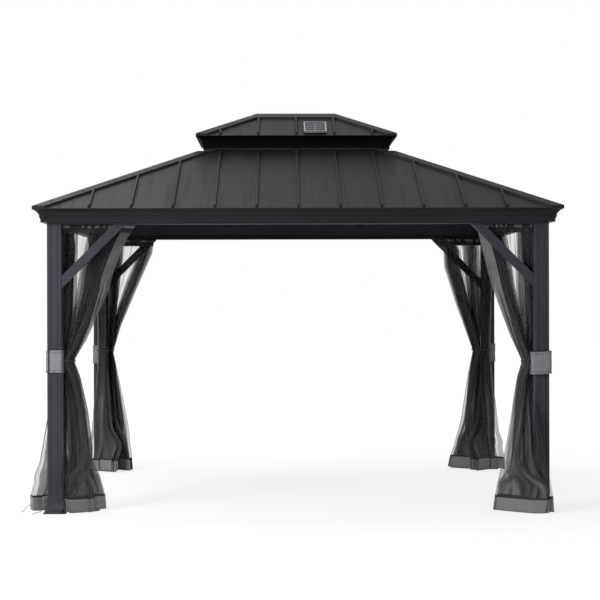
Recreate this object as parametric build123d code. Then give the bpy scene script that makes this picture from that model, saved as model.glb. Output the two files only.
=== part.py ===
from build123d import *
import os
from dataclasses import dataclass
from math import atan2, degrees, floor, radians, sqrt, tan

# A hardtop garden gazebo: four posts, a ring of beams with knee braces, and a two-tier
# standing-seam hip roof with a crown-moulded fascia. Lengths are in millimetres.
# X runs along the long side, Y to the back and Z up, and the origin lies on the ground
# under the middle of the gazebo.

# Roof
ROOF_WIDTH = 3050  # eave tip to eave tip along Y
RIDGE_LENGTH = 610  # how much longer both roofs are along X
EAVE_STEP_HEIGHT = 106  # from under the beams to the top of the lower eave
RISE_SHARE = 0.44  # rise of every slope for each unit of run
ROOF_SHEET = 2.5
UPPER_WIDTH = 910  # upper eave tip to eave tip along Y
UPPER_STEP_HEIGHT = 139  # from the lower roof's slopes to the top of the upper eave, straight above them
VENT_INSET = 63  # from under the upper eave's tip to the opening in the lower roof
SEAM_PITCH = 288
SEAM_BASE = 22  # a standing seam's width at the sheet and at its top
SEAM_TOP = 12
SEAM_RISE = 20
SEAM_SETBACK = 14  # from the eave to a seam's lower end
SEAM_LEAST_LENGTH = 90
CAP_WING = 60  # each wing of a hip cap, in plan
RIDGE_WING = 80
CAP_RISE = 17
CAP_END = 50  # ridge cap past the ridge's end
CAP_GAP = 3  # between a cap and what stops beside it

# Eave and fascia
EAVE_WIDTH = 90  # eave tip past the beams' outer faces
FASCIA_HEIGHT = 92  # from the fascia's foot to the roof sheet at the tip
FASCIA_FOOT = 38  # how far the foot stands out from the beam
FASCIA_PLINTH = 19  # height of the upright face at the foot
FASCIA_LEAN = 10  # how far the band above it leans out
FASCIA_BAND = 42  # from the foot to the top of that band
FASCIA_QUIRK = 3  # step between the band and the cove
FASCIA_NOSE = 3  # depth of the nose's underside
FASCIA_TIP = 5  # height of the nose
FASCIA_WALL = 2.5
COVE_SAG = 7
FASCIA_SPLICE = 72  # from the middle to the joint in the front and back fascia
JOINT_GAP = 1

# Posts, feet, beams and braces
POST_SIZE = 100
POST_WALL = 5
POST_CORNER = 5
GROOVE_WIDTH = 6
GROOVE_PLACE = 24  # from the middle of a post's face to its groove
PLATE_SIZE = 156
PLATE_THICKNESS = 6
PLATE_CORNER = 8
HOLE_RADIUS = 5.5
HOLE_PLACE = 67
FOOT_HEIGHT = 88
FOOT_SPREAD = 22  # how far the foot stands out from the post
FOOT_RIM = 8  # height of the rim round the post
FOOT_RIM_STEP = 2
FOOT_COLLAR = 6  # how far that rim stands out from the post
FOOT_SKIRT = 16
FOOT_CORNER = 38
FOOT_SAG = 9
BEAM_HEIGHT_UNDER = 2000  # headroom under the beams
BEAM_THICKNESS = 50
BEAM_WALL = 4
BEAM_SPLICE = 46  # from the middle to the joint in the long beams
BRACE_LEG = 400  # from the beam down to the middle of the brace at the post
BRACE_DEPTH = 60
BRACE_THICKNESS = 40
BRACE_WALL = 3
RAIL_WIDTH = 20
RAIL_HEIGHT = 24
RAIL_WALL = 3
RAIL_SLOT = 8

# Roof frame
RAFTER_WIDTH = 40
RAFTER_DEPTH = 60
JACK_PLACE = 576  # from the middle to the jack rafters of the long sides
RING_WIDTH = 45
RING_DEPTH = 55
STRUT_WIDTH = 36
UPPER_RAIL = 30
UPPER_DEPTH = 35
SEAT_GAP = 0.3

# Nets and their tie bands
NET_BOTTOM = 6
NET_TIE = 1035  # height of the waist
NET_DEPTH = 44
NET_WAIST = 76
NET_CLEAR = 6  # between a net and the post, brace or foot beside it
NET_CORNER = 14
HEM_SPREAD = 262
HEM_DEPTH = 196
HEM_RISE = 110
SIDE_FLARE = 42  # how far the hems of the short sides' nets stand out past their rails
FRONT_LEFT_FLARE = 88
APRON_WIDTH = 180  # how far the front right net's hem passes across its post
APRON_DEPTH = 40
APRON_TOP_DEPTH = 20
FRONT_LEFT_SPREAD = 490
FRONT_RIGHT_SPREAD = 405
BACK_LEFT_SPREAD = 425
BACK_RIGHT_SPREAD = 400
SIDE_SPREAD = 420
BAND_HEIGHT = 155
BAND_THICKNESS = 4
FRONT_LEFT_BAND_STEP = 13  # from the height of the waist to the middle of each band
FRONT_RIGHT_BAND_STEP = -1
BACK_LEFT_BAND_STEP = -29
BACK_RIGHT_BAND_STEP = -25

# Solar panel on the upper roof
SOLAR_WIDTH = 172
SOLAR_LENGTH = 238
SOLAR_THICKNESS = 14
SOLAR_BORDER = 9
SOLAR_POCKET = 4
SOLAR_STAND = 10
SOLAR_STAND_WIDTH = 18
SOLAR_PLACE = 144  # from the middle of the slope
SOLAR_RUN = 28  # from the eave to the panel's lower edge, along the slope
GLAND_RADIUS = 13
GLAND_HEIGHT = 12
GLAND_RUN = 26  # from the panel's upper edge to the gland's middle
LEAD_RADIUS = 3

# Tie strings that lie on the ground, as steps from the outer front corner of the front left side's hem
STRING_DIAMETER = 4
STRING_BEND_SHARE = 0.45  # of the shorter run, used up by each bend
OUTER_STRING = [
    (0, 15, 45),
    (-22, 15, 45),
    (-46, 2, 33),
    (-63, -22, 15),
    (-72, -48, 4.5),
    (-78, -73, 2.3),
]
INNER_STRING = [
    (63, 0, 13),
    (63, -20, 13),
    (56, -46, 5),
    (41, -72, 2.4),
    (27, -105, 2.3),
    (19, -138, 2.5),
    (16, -163, 2.3),
]

# Worked out from the sizes above
ROOF_LENGTH = ROOF_WIDTH + RIDGE_LENGTH
OVERRUN = ROOF_LENGTH
HALF_LENGTH = ROOF_LENGTH / 2
HALF_WIDTH = ROOF_WIDTH / 2
POST_X = HALF_LENGTH - EAVE_WIDTH  # outer faces of the posts and beams
POST_Y = HALF_WIDTH - EAVE_WIDTH
POST_MIDDLE_X = POST_X - POST_SIZE / 2
POST_MIDDLE_Y = POST_Y - POST_SIZE / 2
SHEET_DROP = ROOF_SHEET * sqrt(1 + RISE_SHARE**2)  # the sheet's thickness along Z
EAVE_HEIGHT = BEAM_HEIGHT_UNDER + EAVE_STEP_HEIGHT
UPPER_EAVE_HEIGHT = EAVE_HEIGHT + RISE_SHARE * (ROOF_WIDTH - UPPER_WIDTH) / 2 + UPPER_STEP_HEIGHT
VENT_WIDTH = UPPER_WIDTH - 2 * VENT_INSET
UNDER_EAVE = EAVE_HEIGHT - SHEET_DROP
UNDER_UPPER_EAVE = UPPER_EAVE_HEIGHT - SHEET_DROP
BEAM_TOP = UNDER_EAVE + RISE_SHARE * EAVE_WIDTH  # under the sheet, at the beams' outer faces
NET_TOP = BEAM_HEIGHT_UNDER - SEAT_GAP
NET_INSET = BEAM_THICKNESS / 2 + BRACE_THICKNESS / 2 + NET_CLEAR + NET_DEPTH / 2  # from the beam's face
HEM_START = PLATE_SIZE / 2 - POST_SIZE / 2 + NET_CLEAR  # from the post's face to the hem
CORNERS = [("front_left", -1, -1), ("front_right", 1, -1), ("back_left", -1, 1), ("back_right", 1, 1)]


@dataclass(frozen=True)
class HipRoof:
    """A hip roof's eave lines, its eave's height and the opening left at its top."""

    length: float
    width: float
    eave: float
    opening: float

    @property
    def ridge(self):
        return self.length - self.width

    @property
    def corner(self):
        return self.length / 2, self.width / 2

    @property
    def top(self):
        """Where the hips end: the opening's corner, or the ridge's end."""
        return (self.opening + self.ridge) / 2, self.opening / 2


LOWER = HipRoof(ROOF_LENGTH, ROOF_WIDTH, EAVE_HEIGHT, VENT_WIDTH)
UPPER = HipRoof(UPPER_WIDTH + LOWER.ridge, UPPER_WIDTH, UPPER_EAVE_HEIGHT, 0)


def outline(*points):
    """A flat face with straight sides."""
    return make_face(Polyline(*points, close=True))


def upright(plan, low=-OVERRUN, high=OVERRUN):
    """A prism that stands on a plan, from one height to another."""
    return Pos(0, 0, low) * extrude(plan, high - low, dir=(0, 0, 1))


def rectangle(x_low, x_high, y_low, y_high):
    """A rectangular plan between two corners."""
    return Pos((x_low + x_high) / 2, (y_low + y_high) / 2) * Rectangle(x_high - x_low, y_high - y_low)


def under_slopes(roof, lift):
    """Everything under a hip roof's four slopes, with the slopes lifted by a height."""
    length, width = roof.corner
    ridge = roof.ridge / 2
    eave = roof.eave + lift
    peak = eave + RISE_SHARE * width
    across = outline((-width, 0), (width, 0), (width, eave), (0, peak), (-width, eave))
    along = outline((-length, 0), (length, 0), (length, eave), (ridge, peak), (-ridge, peak), (-length, eave))
    gable = extrude(Plane.YZ * across, length, both=True)
    ends = extrude(Plane.XZ * along, width, both=True)
    return gable & ends


def layer(roof, high, low):
    """What lies between two copies of a hip roof's slopes, one above the other."""
    return under_slopes(roof, high) - under_slopes(roof, low)


def four_ways(shape):
    """Copies of a front left piece at all four corners."""
    front = [shape, mirror(shape, about=Plane.YZ)]
    back = [mirror(piece, about=Plane.XZ) for piece in front]
    return front + back


def save(node, *shapes):
    """Write one node's solids to its own file."""
    solids = [solid for shape in shapes for solid in shape.solids()]
    export_step(solids[0] if len(solids) == 1 else Compound(solids), f"parts/{node}.step")


def slope_plan(roof, side):
    """The front or left slope seen from above."""
    length, width = roof.corner
    top_length, top_width = roof.top
    corner = (-length, -width)
    inner = (-top_length, -top_width)
    if side == "front":
        return outline(corner, (length, -width), (top_length, -top_width), inner)
    if top_width == 0:
        return outline(corner, (-length, width), inner)
    return outline(corner, (-length, width), (-top_length, top_width), inner)


def hip_plan(roof, wing):
    """The front left hip seen from above, with a wing as wide as stated on each side."""
    length, width = roof.corner
    top_length, top_width = roof.top
    along_eave = wing * sqrt(2)
    across = wing / sqrt(2)
    return outline(
        (-length, -width),
        (along_eave - length, -width),
        (across - top_length, -top_width - across),
        (-top_length - across, across - top_width),
        (-length, along_eave - width),
    )


def crown_plan(roof, spare):
    """What the seams and hip caps stop at, grown all round: the vent's ring or the ridge cap."""
    if roof.opening:
        margin = RING_WIDTH + spare
        return Rectangle(roof.ridge + roof.opening + 2 * margin, roof.opening + 2 * margin)
    return Rectangle(roof.ridge + 2 * (CAP_END + spare), 2 * (RIDGE_WING + spare))


def seam_field(roof, side):
    """The part of a slope that its seams cover: all but its eave, its hips and its crown."""
    length, width = roof.corner
    field = slope_plan(roof, side) & Rectangle(2 * (length - SEAM_SETBACK), 2 * (width - SEAM_SETBACK))
    for hip in four_ways(hip_plan(roof, CAP_WING + CAP_GAP)):
        field -= hip
    return field - crown_plan(roof, CAP_GAP)


def standing_seams(roof, side):
    """A slope's standing seams, spaced from its middle: tapered ribs that run straight up it."""
    length, width = roof.corner
    front = side == "front"
    reach, depth = (length, width) if front else (width, length)
    count = floor((reach - (CAP_WING + CAP_GAP) * sqrt(2) - SEAM_LEAST_LENGTH) / SEAM_PITCH)
    sink = -SHEET_DROP / 2
    ribs = Sketch()
    for number in range(-count, count + 1):
        place = number * SEAM_PITCH
        ribs += outline(
            (place - SEAM_BASE / 2, sink),
            (place + SEAM_BASE / 2, sink),
            (place + SEAM_TOP / 2, SEAM_RISE),
            (place - SEAM_TOP / 2, SEAM_RISE),
        )
    foot = (0, -depth, roof.eave) if front else (-depth, 0, roof.eave)
    plane = Plane(foot, x_dir=(1, 0, 0), z_dir=(0, -1, 0)) if front else Plane(foot, x_dir=(0, 1, 0), z_dir=(1, 0, 0))
    uphill = (0, 1, RISE_SHARE) if front else (1, 0, RISE_SHARE)
    return extrude(plane * ribs, depth * sqrt(1 + RISE_SHARE**2), dir=uphill) & upright(seam_field(roof, side))


def roof_panel(roof, side):
    """One slope of a roof: a flat sheet with its standing seams."""
    sheet = upright(slope_plan(roof, side)) & layer(roof, 0, -SHEET_DROP)
    return sheet + standing_seams(roof, side)


def cap(roof, plan):
    """A folded cap over a hip or ridge, with its edges turned down onto the sheet."""
    skin = upright(plan) & layer(roof, CAP_RISE, 0)
    inside = upright(offset(plan, -ROOF_SHEET)) & layer(roof, CAP_RISE - SHEET_DROP, -CAP_RISE)
    return skin - inside


def hip_cap(roof):
    """The cap over a roof's front left hip, which stops at the roof's crown."""
    quarter = rectangle(-OVERRUN, 0, -OVERRUN, -CAP_GAP / 2)
    return cap(roof, (hip_plan(roof, CAP_WING) & quarter) - crown_plan(roof, CAP_GAP))


def fascia_profile():
    """The crown moulding's wall, outward along X from the beam and up along Y from under the sheet's tip."""
    back = -2 * FASCIA_WALL
    foot = (FASCIA_FOOT, -FASCIA_HEIGHT)
    plinth = (FASCIA_FOOT, FASCIA_PLINTH - FASCIA_HEIGHT)
    band = (FASCIA_FOOT + FASCIA_LEAN, FASCIA_BAND - FASCIA_HEIGHT)
    quirk = (band[0] - FASCIA_QUIRK, band[1] + FASCIA_QUIRK)
    nose = (EAVE_WIDTH - FASCIA_NOSE, -FASCIA_TIP)
    cove = SagittaArc(quirk, nose, COVE_SAG)
    edges = [
        Polyline((back, RISE_SHARE * (EAVE_WIDTH - back)), (back, -FASCIA_HEIGHT), foot, plinth, band, quirk),
        cove,
        Polyline(
            nose,
            (EAVE_WIDTH, -FASCIA_TIP),
            (EAVE_WIDTH, 0),
            (back, RISE_SHARE * (EAVE_WIDTH - back)),
        ),
    ]
    block = make_face(edges)
    wall = block - offset(block, -FASCIA_WALL)
    return wall & rectangle(0, OVERRUN, -OVERRUN, OVERRUN)


def fascia_run(roof, side):
    """The moulding along the whole of a front or left eave, with square ends."""
    length, width = roof.corner
    height = roof.eave - SHEET_DROP
    if side == "front":
        plane = Plane((0, EAVE_WIDTH - width, height), x_dir=(0, -1, 0), z_dir=(-1, 0, 0))
        return extrude(plane * fascia_profile(), length, both=True)
    plane = Plane((EAVE_WIDTH - length, 0, height), x_dir=(-1, 0, 0), z_dir=(0, 1, 0))
    return extrude(plane * fascia_profile(), width, both=True)


def fascia_corner():
    """The front left corner piece: two runs of the moulding, mitred together."""
    tip = (-HALF_LENGTH, -HALF_WIDTH)
    beam = (-POST_X, -POST_Y)
    end_x = POST_SIZE - POST_X
    end_y = POST_SIZE - POST_Y
    front = upright(outline(tip, (end_x, -HALF_WIDTH), (end_x, -POST_Y), beam))
    left = upright(outline(tip, (-HALF_LENGTH, end_y), (-POST_X, end_y), beam))
    return (fascia_run(LOWER, "front") & front) + (fascia_run(LOWER, "left") & left)


def fascia_front():
    """The two straight lengths of the front fascia, between its corner pieces."""
    end = POST_X - POST_SIZE - JOINT_GAP
    run = fascia_run(LOWER, "front")
    first = run & upright(rectangle(-end, FASCIA_SPLICE - JOINT_GAP / 2, -OVERRUN, OVERRUN))
    second = run & upright(rectangle(FASCIA_SPLICE + JOINT_GAP / 2, end, -OVERRUN, OVERRUN))
    return [first, second]


def fascia_left():
    """The straight length of the left fascia, between its corner pieces."""
    end = POST_Y - POST_SIZE - JOINT_GAP
    return fascia_run(LOWER, "left") & upright(rectangle(-OVERRUN, OVERRUN, -end, end))


def upper_fascia():
    """The upper roof's four lengths of fascia, mitred at the corners."""
    length, width = UPPER.corner
    gap = JOINT_GAP / 2
    inner_length = length - EAVE_WIDTH
    inner_width = width - EAVE_WIDTH
    front_plan = outline(
        (gap - length, -width),
        (length - gap, -width),
        (inner_length - gap, -inner_width),
        (gap - inner_length, -inner_width),
    )
    left_plan = outline(
        (-length, gap - width),
        (-length, width - gap),
        (-inner_length, inner_width - gap),
        (-inner_length, gap - inner_width),
    )
    front = fascia_run(UPPER, "front") & upright(front_plan)
    left = fascia_run(UPPER, "left") & upright(left_plan)
    return [front, mirror(front, about=Plane.XZ), left, mirror(left, about=Plane.YZ)]


def post():
    """A hollow post with two grooves down each face, from its base plate to the roof sheet."""
    section = RectangleRounded(POST_SIZE, POST_SIZE, POST_CORNER)
    section -= Rectangle(POST_SIZE - 2 * POST_WALL, POST_SIZE - 2 * POST_WALL)
    for turn in range(4):
        for side in (-1, 1):
            section -= Rot(Z=90 * turn) * Pos(side * GROOVE_PLACE, POST_SIZE / 2) * Circle(GROOVE_WIDTH / 2)
    return upright(section, PLATE_THICKNESS, BEAM_TOP - SEAT_GAP)


def base_plate():
    """A post's base plate, with an anchor hole in each corner."""
    plan = RectangleRounded(PLATE_SIZE, PLATE_SIZE, PLATE_CORNER)
    plan -= GridLocations(2 * HOLE_PLACE, 2 * HOLE_PLACE, 2, 2) * Circle(HOLE_RADIUS)
    return upright(plan, 0, PLATE_THICKNESS)


def foot_cover():
    """A flared cover round a post's foot, rounded off to leave the anchor holes free."""
    post_half = POST_SIZE / 2
    rim = post_half + FOOT_COLLAR
    neck = rim - FOOT_RIM_STEP
    spread = post_half + FOOT_SPREAD
    top = PLATE_THICKNESS + FOOT_HEIGHT
    flare = SagittaArc((spread, PLATE_THICKNESS + FOOT_SKIRT), (neck, top - FOOT_RIM), FOOT_SAG)
    edges = [
        Polyline((0, top), (0, PLATE_THICKNESS), (spread, PLATE_THICKNESS), flare @ 0),
        flare,
        Polyline(flare @ 1, (rim, top - FOOT_RIM), (rim, top), (0, top)),
    ]
    half = make_face(edges)
    profile = half + mirror(half, about=Plane.YZ)
    along = extrude(Plane.XZ * profile, spread, both=True)
    across = extrude(Plane.YZ * profile, spread, both=True)
    rounded = upright(RectangleRounded(2 * spread, 2 * spread, FOOT_CORNER))
    hole = upright(Rectangle(POST_SIZE + 2 * SEAT_GAP, POST_SIZE + 2 * SEAT_GAP))
    return (along & across & rounded) - hole


def beam_profile():
    """A hollow beam with its top cut to the roof's slope, outward along X and up along Y."""
    block = outline(
        (0, BEAM_HEIGHT_UNDER),
        (-BEAM_THICKNESS, BEAM_HEIGHT_UNDER),
        (-BEAM_THICKNESS, BEAM_TOP + RISE_SHARE * BEAM_THICKNESS),
        (0, BEAM_TOP),
    )
    return block - offset(block, -BEAM_WALL)


def long_beam():
    """The front beam: two lengths butted together between the posts."""
    plane = Plane((0, -POST_Y, 0), x_dir=(0, -1, 0), z_dir=(-1, 0, 0))
    end = POST_X - POST_SIZE
    whole = extrude(plane * beam_profile(), end, both=True)
    first = whole & upright(rectangle(-end, -BEAM_SPLICE - JOINT_GAP / 2, -OVERRUN, OVERRUN))
    second = whole & upright(rectangle(JOINT_GAP / 2 - BEAM_SPLICE, end, -OVERRUN, OVERRUN))
    return [first, second]


def short_beam():
    """The left beam, between the posts."""
    plane = Plane((-POST_X, 0, 0), x_dir=(-1, 0, 0), z_dir=(0, 1, 0))
    return extrude(plane * beam_profile(), POST_Y - POST_SIZE, both=True)


def brace_outline(wall):
    """A brace at 45 degrees from the post up to the beam, drawn in by a wall above and below."""
    rise = BRACE_DEPTH * sqrt(2)
    low = BEAM_HEIGHT_UNDER - BRACE_LEG - rise / 2 + wall * sqrt(2)
    high = BEAM_HEIGHT_UNDER - BRACE_LEG + rise / 2 - wall * sqrt(2)
    return outline(
        (0, low),
        (0, high),
        (BEAM_HEIGHT_UNDER - high, BEAM_HEIGHT_UNDER),
        (BEAM_HEIGHT_UNDER - low, BEAM_HEIGHT_UNDER),
    )


def brace(plane):
    """A hollow knee brace on an upright plane that starts at the post's inner face."""
    tube = extrude(plane * brace_outline(0), BRACE_THICKNESS / 2, both=True)
    return tube - extrude(plane * brace_outline(BRACE_WALL), BRACE_THICKNESS / 2 - BRACE_WALL, both=True)


def corner_braces():
    """The two knee braces of the front left post."""
    beam_x = BEAM_THICKNESS / 2 - POST_X
    beam_y = BEAM_THICKNESS / 2 - POST_Y
    along_front = Plane((POST_SIZE - POST_X, beam_y, 0), x_dir=(1, 0, 0), z_dir=(0, -1, 0))
    along_left = Plane((beam_x, POST_SIZE - POST_Y, 0), x_dir=(0, 1, 0), z_dir=(1, 0, 0))
    return [brace(along_front), brace(along_left)]


def rail_profile():
    """A net rail's open channel on the beam's inner face, with its slot underneath."""
    inner = -BEAM_THICKNESS - RAIL_WIDTH
    top = BEAM_HEIGHT_UNDER + RAIL_HEIGHT
    block = rectangle(inner, -BEAM_THICKNESS, BEAM_HEIGHT_UNDER, top)
    middle = inner + RAIL_WIDTH / 2
    slot = rectangle(middle - RAIL_SLOT / 2, middle + RAIL_SLOT / 2, 0, top - RAIL_WALL)
    return block - offset(block, -RAIL_WALL) - slot


def net_rails():
    """The four net rails, each between two posts."""
    front = Plane((0, -POST_Y, 0), x_dir=(0, -1, 0), z_dir=(-1, 0, 0))
    left = Plane((-POST_X, 0, 0), x_dir=(-1, 0, 0), z_dir=(0, 1, 0))
    front_rail = extrude(front * rail_profile(), POST_X - POST_SIZE - SEAT_GAP, both=True)
    left_rail = extrude(left * rail_profile(), POST_Y - POST_SIZE - SEAT_GAP, both=True)
    return [front_rail, mirror(front_rail, about=Plane.XZ), left_rail, mirror(left_rail, about=Plane.YZ)]


def strip(start, end, width):
    """A plan as wide as stated, from one point to another."""
    line = Line(start, end)
    run = line @ 1 - line @ 0
    return Pos(*(line @ 0.5)) * Rot(Z=degrees(atan2(run.Y, run.X))) * Rectangle(line.length, width)


def hip_rafter():
    """The lower roof's front left hip rafter, notched round the post and against the ring."""
    top_length, top_width = LOWER.top
    plan = strip((-POST_MIDDLE_X, -POST_MIDDLE_Y), (-top_length, -top_width), RAFTER_WIDTH)
    ring = rectangle(-top_length - RING_WIDTH, OVERRUN, -top_width - RING_WIDTH, OVERRUN)
    post_plan = Pos(-POST_MIDDLE_X, -POST_MIDDLE_Y) * Rectangle(POST_SIZE, POST_SIZE)
    return upright(plan - ring - post_plan) & layer(LOWER, -SHEET_DROP, -SHEET_DROP - RAFTER_DEPTH)


def jack_rafters():
    """The common rafters under the middles of the slopes, between the beams and the ring."""
    top_length, top_width = LOWER.top
    half = RAFTER_WIDTH / 2
    front_plan = rectangle(-JACK_PLACE - half, half - JACK_PLACE, BEAM_THICKNESS - POST_Y, -top_width - RING_WIDTH)
    left_plan = rectangle(BEAM_THICKNESS - POST_X, -top_length - RING_WIDTH, -half, half)
    depth = layer(LOWER, -SHEET_DROP, -SHEET_DROP - RAFTER_DEPTH)
    left = upright(left_plan) & depth
    return four_ways(upright(front_plan) & depth) + [left, mirror(left, about=Plane.YZ)]


def vent_ring():
    """Four bars round the opening at the top of the lower roof."""
    top_length, top_width = LOWER.top
    outer_length = top_length + RING_WIDTH
    depth = layer(LOWER, -SHEET_DROP, -SHEET_DROP - RING_DEPTH)
    front = upright(rectangle(-outer_length, outer_length, -top_width - RING_WIDTH, -top_width)) & depth
    end = top_width - SEAT_GAP
    left = upright(rectangle(-outer_length, -top_length, -end, end)) & depth
    return [front, mirror(front, about=Plane.XZ), left, mirror(left, about=Plane.YZ)]


def lantern_struts():
    """The blocks that carry the upper roof, from inside the vent's ring up to the upper rails."""
    top_length, top_width = LOWER.top
    length, width = UPPER.corner
    inner_x = EAVE_WIDTH + UPPER_RAIL - length
    inner_y = EAVE_WIDTH + UPPER_RAIL - width
    low = UNDER_EAVE + RISE_SHARE * (HALF_WIDTH - top_width) - RING_DEPTH
    high = UNDER_UPPER_EAVE - FASCIA_HEIGHT
    corner = upright(rectangle(-top_length, inner_x, -top_width, inner_y), low, high)
    middle = upright(rectangle(-STRUT_WIDTH / 2, STRUT_WIDTH / 2, -top_width, inner_y), low, high)
    return four_ways(corner) + [middle, mirror(middle, about=Plane.XZ)]


def upper_rails():
    """Four bars behind the upper fascia, with their tops cut to the slopes."""
    length, width = UPPER.corner
    outer_length = length - EAVE_WIDTH
    outer_width = width - EAVE_WIDTH
    foot = UNDER_UPPER_EAVE - FASCIA_HEIGHT
    below = under_slopes(UPPER, -SHEET_DROP)
    front = upright(rectangle(-outer_length, outer_length, -outer_width, UPPER_RAIL - outer_width), foot) & below
    end = outer_width - UPPER_RAIL - SEAT_GAP
    left = upright(rectangle(-outer_length, UPPER_RAIL - outer_length, -end, end), foot) & below
    return [front, mirror(front, about=Plane.XZ), left, mirror(left, about=Plane.YZ)]


def ridge_beam():
    """The bar under the upper roof's ridge."""
    plan = Rectangle(UPPER.ridge + 2 * RAFTER_WIDTH, RAFTER_WIDTH)
    return upright(plan) & layer(UPPER, -SHEET_DROP, -SHEET_DROP - UPPER_DEPTH)


def upper_rafter():
    """The upper roof's front left hip rafter, from the rails to the ridge beam."""
    length, width = UPPER.corner
    inner_length = length - EAVE_WIDTH - UPPER_RAIL
    inner_width = width - EAVE_WIDTH - UPPER_RAIL
    plan = strip((-length, -width), (-UPPER.ridge / 2, 0), RAFTER_WIDTH)
    plan = plan & rectangle(-inner_length, 0, -inner_width, 0)
    plan = plan - Rectangle(UPPER.ridge + 2 * RAFTER_WIDTH, RAFTER_WIDTH)
    return upright(plan) & layer(UPPER, -SHEET_DROP, -SHEET_DROP - UPPER_DEPTH)


def net_section(height, start, spread, shift, depth):
    """One level of a gathered net: along X from the post's face and across Y about the rail."""
    corner = min(NET_CORNER, spread / 3, depth / 3)
    return Pos(start + spread / 2, shift, height) * RectangleRounded(spread, depth, corner)


def gathered_net(spread, flare):
    """A net drawn aside to its post: wide on the rail, tied at the waist and spread at the hem.

    It stands on X from the post's face and about Y = 0 under its rail, and its hem is pushed
    out across the rail by a flare.
    """
    levels = [
        net_section(NET_BOTTOM, HEM_START, HEM_SPREAD, flare, HEM_DEPTH),
        net_section(NET_BOTTOM + HEM_RISE, HEM_START, HEM_SPREAD, flare, HEM_DEPTH),
        net_section(NET_TIE, NET_CLEAR, NET_WAIST, 0, NET_DEPTH),
        net_section(NET_TOP, NET_CLEAR, spread, 0, NET_DEPTH),
    ]
    return loft(levels, ruled=True)


def net_apron():
    """The part of a long side's net that is drawn across the front of its post, under the tie band."""
    width = APRON_WIDTH + HEM_START + HEM_SPREAD
    hem_middle = -NET_INSET - HEM_START - APRON_DEPTH / 2
    top_middle = -NET_INSET - NET_CLEAR - APRON_TOP_DEPTH / 2
    top = NET_TIE + FRONT_RIGHT_BAND_STEP - BAND_HEIGHT / 2 - NET_CLEAR
    levels = [
        net_section(NET_BOTTOM, -APRON_WIDTH, width, hem_middle, APRON_DEPTH),
        net_section(NET_BOTTOM + HEM_RISE, -APRON_WIDTH, width, hem_middle, APRON_DEPTH),
        net_section(top, -POST_SIZE, POST_SIZE + NET_WAIST, top_middle, APRON_TOP_DEPTH),
    ]
    return loft(levels, ruled=True)


def long_net(corner):
    """The net that hangs beside a corner's post on the gazebo's front or back."""
    spreads = {
        "front_left": FRONT_LEFT_SPREAD,
        "front_right": FRONT_RIGHT_SPREAD,
        "back_left": BACK_LEFT_SPREAD,
        "back_right": BACK_RIGHT_SPREAD,
    }
    if corner == "front_right":
        return gathered_net(spreads[corner], -APRON_DEPTH) + net_apron()
    return gathered_net(spreads[corner], 0)


def short_net(corner):
    """The net that hangs beside a corner's post on the gazebo's left or right."""
    return gathered_net(SIDE_SPREAD, FRONT_LEFT_FLARE if corner == "front_left" else SIDE_FLARE)


def at_corner(shape, x_side, y_side):
    """A front left piece carried to another corner by mirroring."""
    if x_side > 0:
        shape = mirror(shape, about=Plane.YZ)
    if y_side > 0:
        shape = mirror(shape, about=Plane.XZ)
    return shape


def tie_string(points):
    """A round string along straight runs with each bend as wide as its two runs allow."""
    hem_x = NET_INSET - POST_X - FRONT_LEFT_FLARE - HEM_DEPTH / 2
    hem_y = POST_SIZE - POST_Y + HEM_START
    corner = Vector(hem_x - SEAT_GAP, hem_y - SEAT_GAP, 0)
    places = [corner + Vector(*point) for point in points]
    runs = [after - before for before, after in zip(places, places[1:])]
    radii = []
    for before, after in zip(runs, runs[1:]):
        half_turn = radians(before.get_angle(after)) / 2
        radii.append(STRING_BEND_SHARE * min(before.length, after.length) / tan(half_turn))
    path = FilletPolyline(*places, radius=radii)
    print("string", round(path.length), "mm long, bends of", [round(radius) for radius in radii])
    section = Plane(path @ 0, z_dir=path % 0) * Circle(STRING_DIAMETER / 2)
    return sweep(section, path)


def tie_band(height):
    """A cloth band round a post, at the height of its middle."""
    inner = POST_SIZE + 2 * SEAT_GAP
    outer = inner + 2 * BAND_THICKNESS
    plan = RectangleRounded(outer, outer, POST_CORNER + BAND_THICKNESS)
    plan -= RectangleRounded(inner, inner, POST_CORNER)
    return upright(plan, height - BAND_HEIGHT / 2, height + BAND_HEIGHT / 2)


def solar_plane(run):
    """A plane on the upper front slope, as far up from the eave as stated along the slope."""
    slope = sqrt(1 + RISE_SHARE**2)
    out = UPPER_WIDTH / 2 - run / slope
    height = UPPER_EAVE_HEIGHT + RISE_SHARE * run / slope
    return Plane((SOLAR_PLACE, -out, height), x_dir=(1, 0, 0), z_dir=(0, -RISE_SHARE, 1))


def solar_panel():
    """The solar panel's frame on its two feet, and the cells in the frame's pocket."""
    plane = solar_plane(SOLAR_RUN + SOLAR_LENGTH / 2)
    floor_height = SOLAR_STAND + SOLAR_THICKNESS - SOLAR_POCKET
    inner = Rectangle(SOLAR_WIDTH - 2 * SOLAR_BORDER, SOLAR_LENGTH - 2 * SOLAR_BORDER)
    frame = Pos(0, 0, SOLAR_STAND) * extrude(Rectangle(SOLAR_WIDTH, SOLAR_LENGTH), SOLAR_THICKNESS)
    frame -= Pos(0, 0, floor_height) * extrude(inner, SOLAR_POCKET)
    foot_place = SOLAR_WIDTH / 2 - SOLAR_STAND_WIDTH
    for side in (-1, 1):
        frame += Pos(side * foot_place, 0, 0) * extrude(Rectangle(SOLAR_STAND_WIDTH, SOLAR_LENGTH / 2), SOLAR_STAND)
    cells = Pos(0, 0, floor_height) * extrude(inner, SOLAR_POCKET / 2)
    return plane * frame, plane * cells


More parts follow.
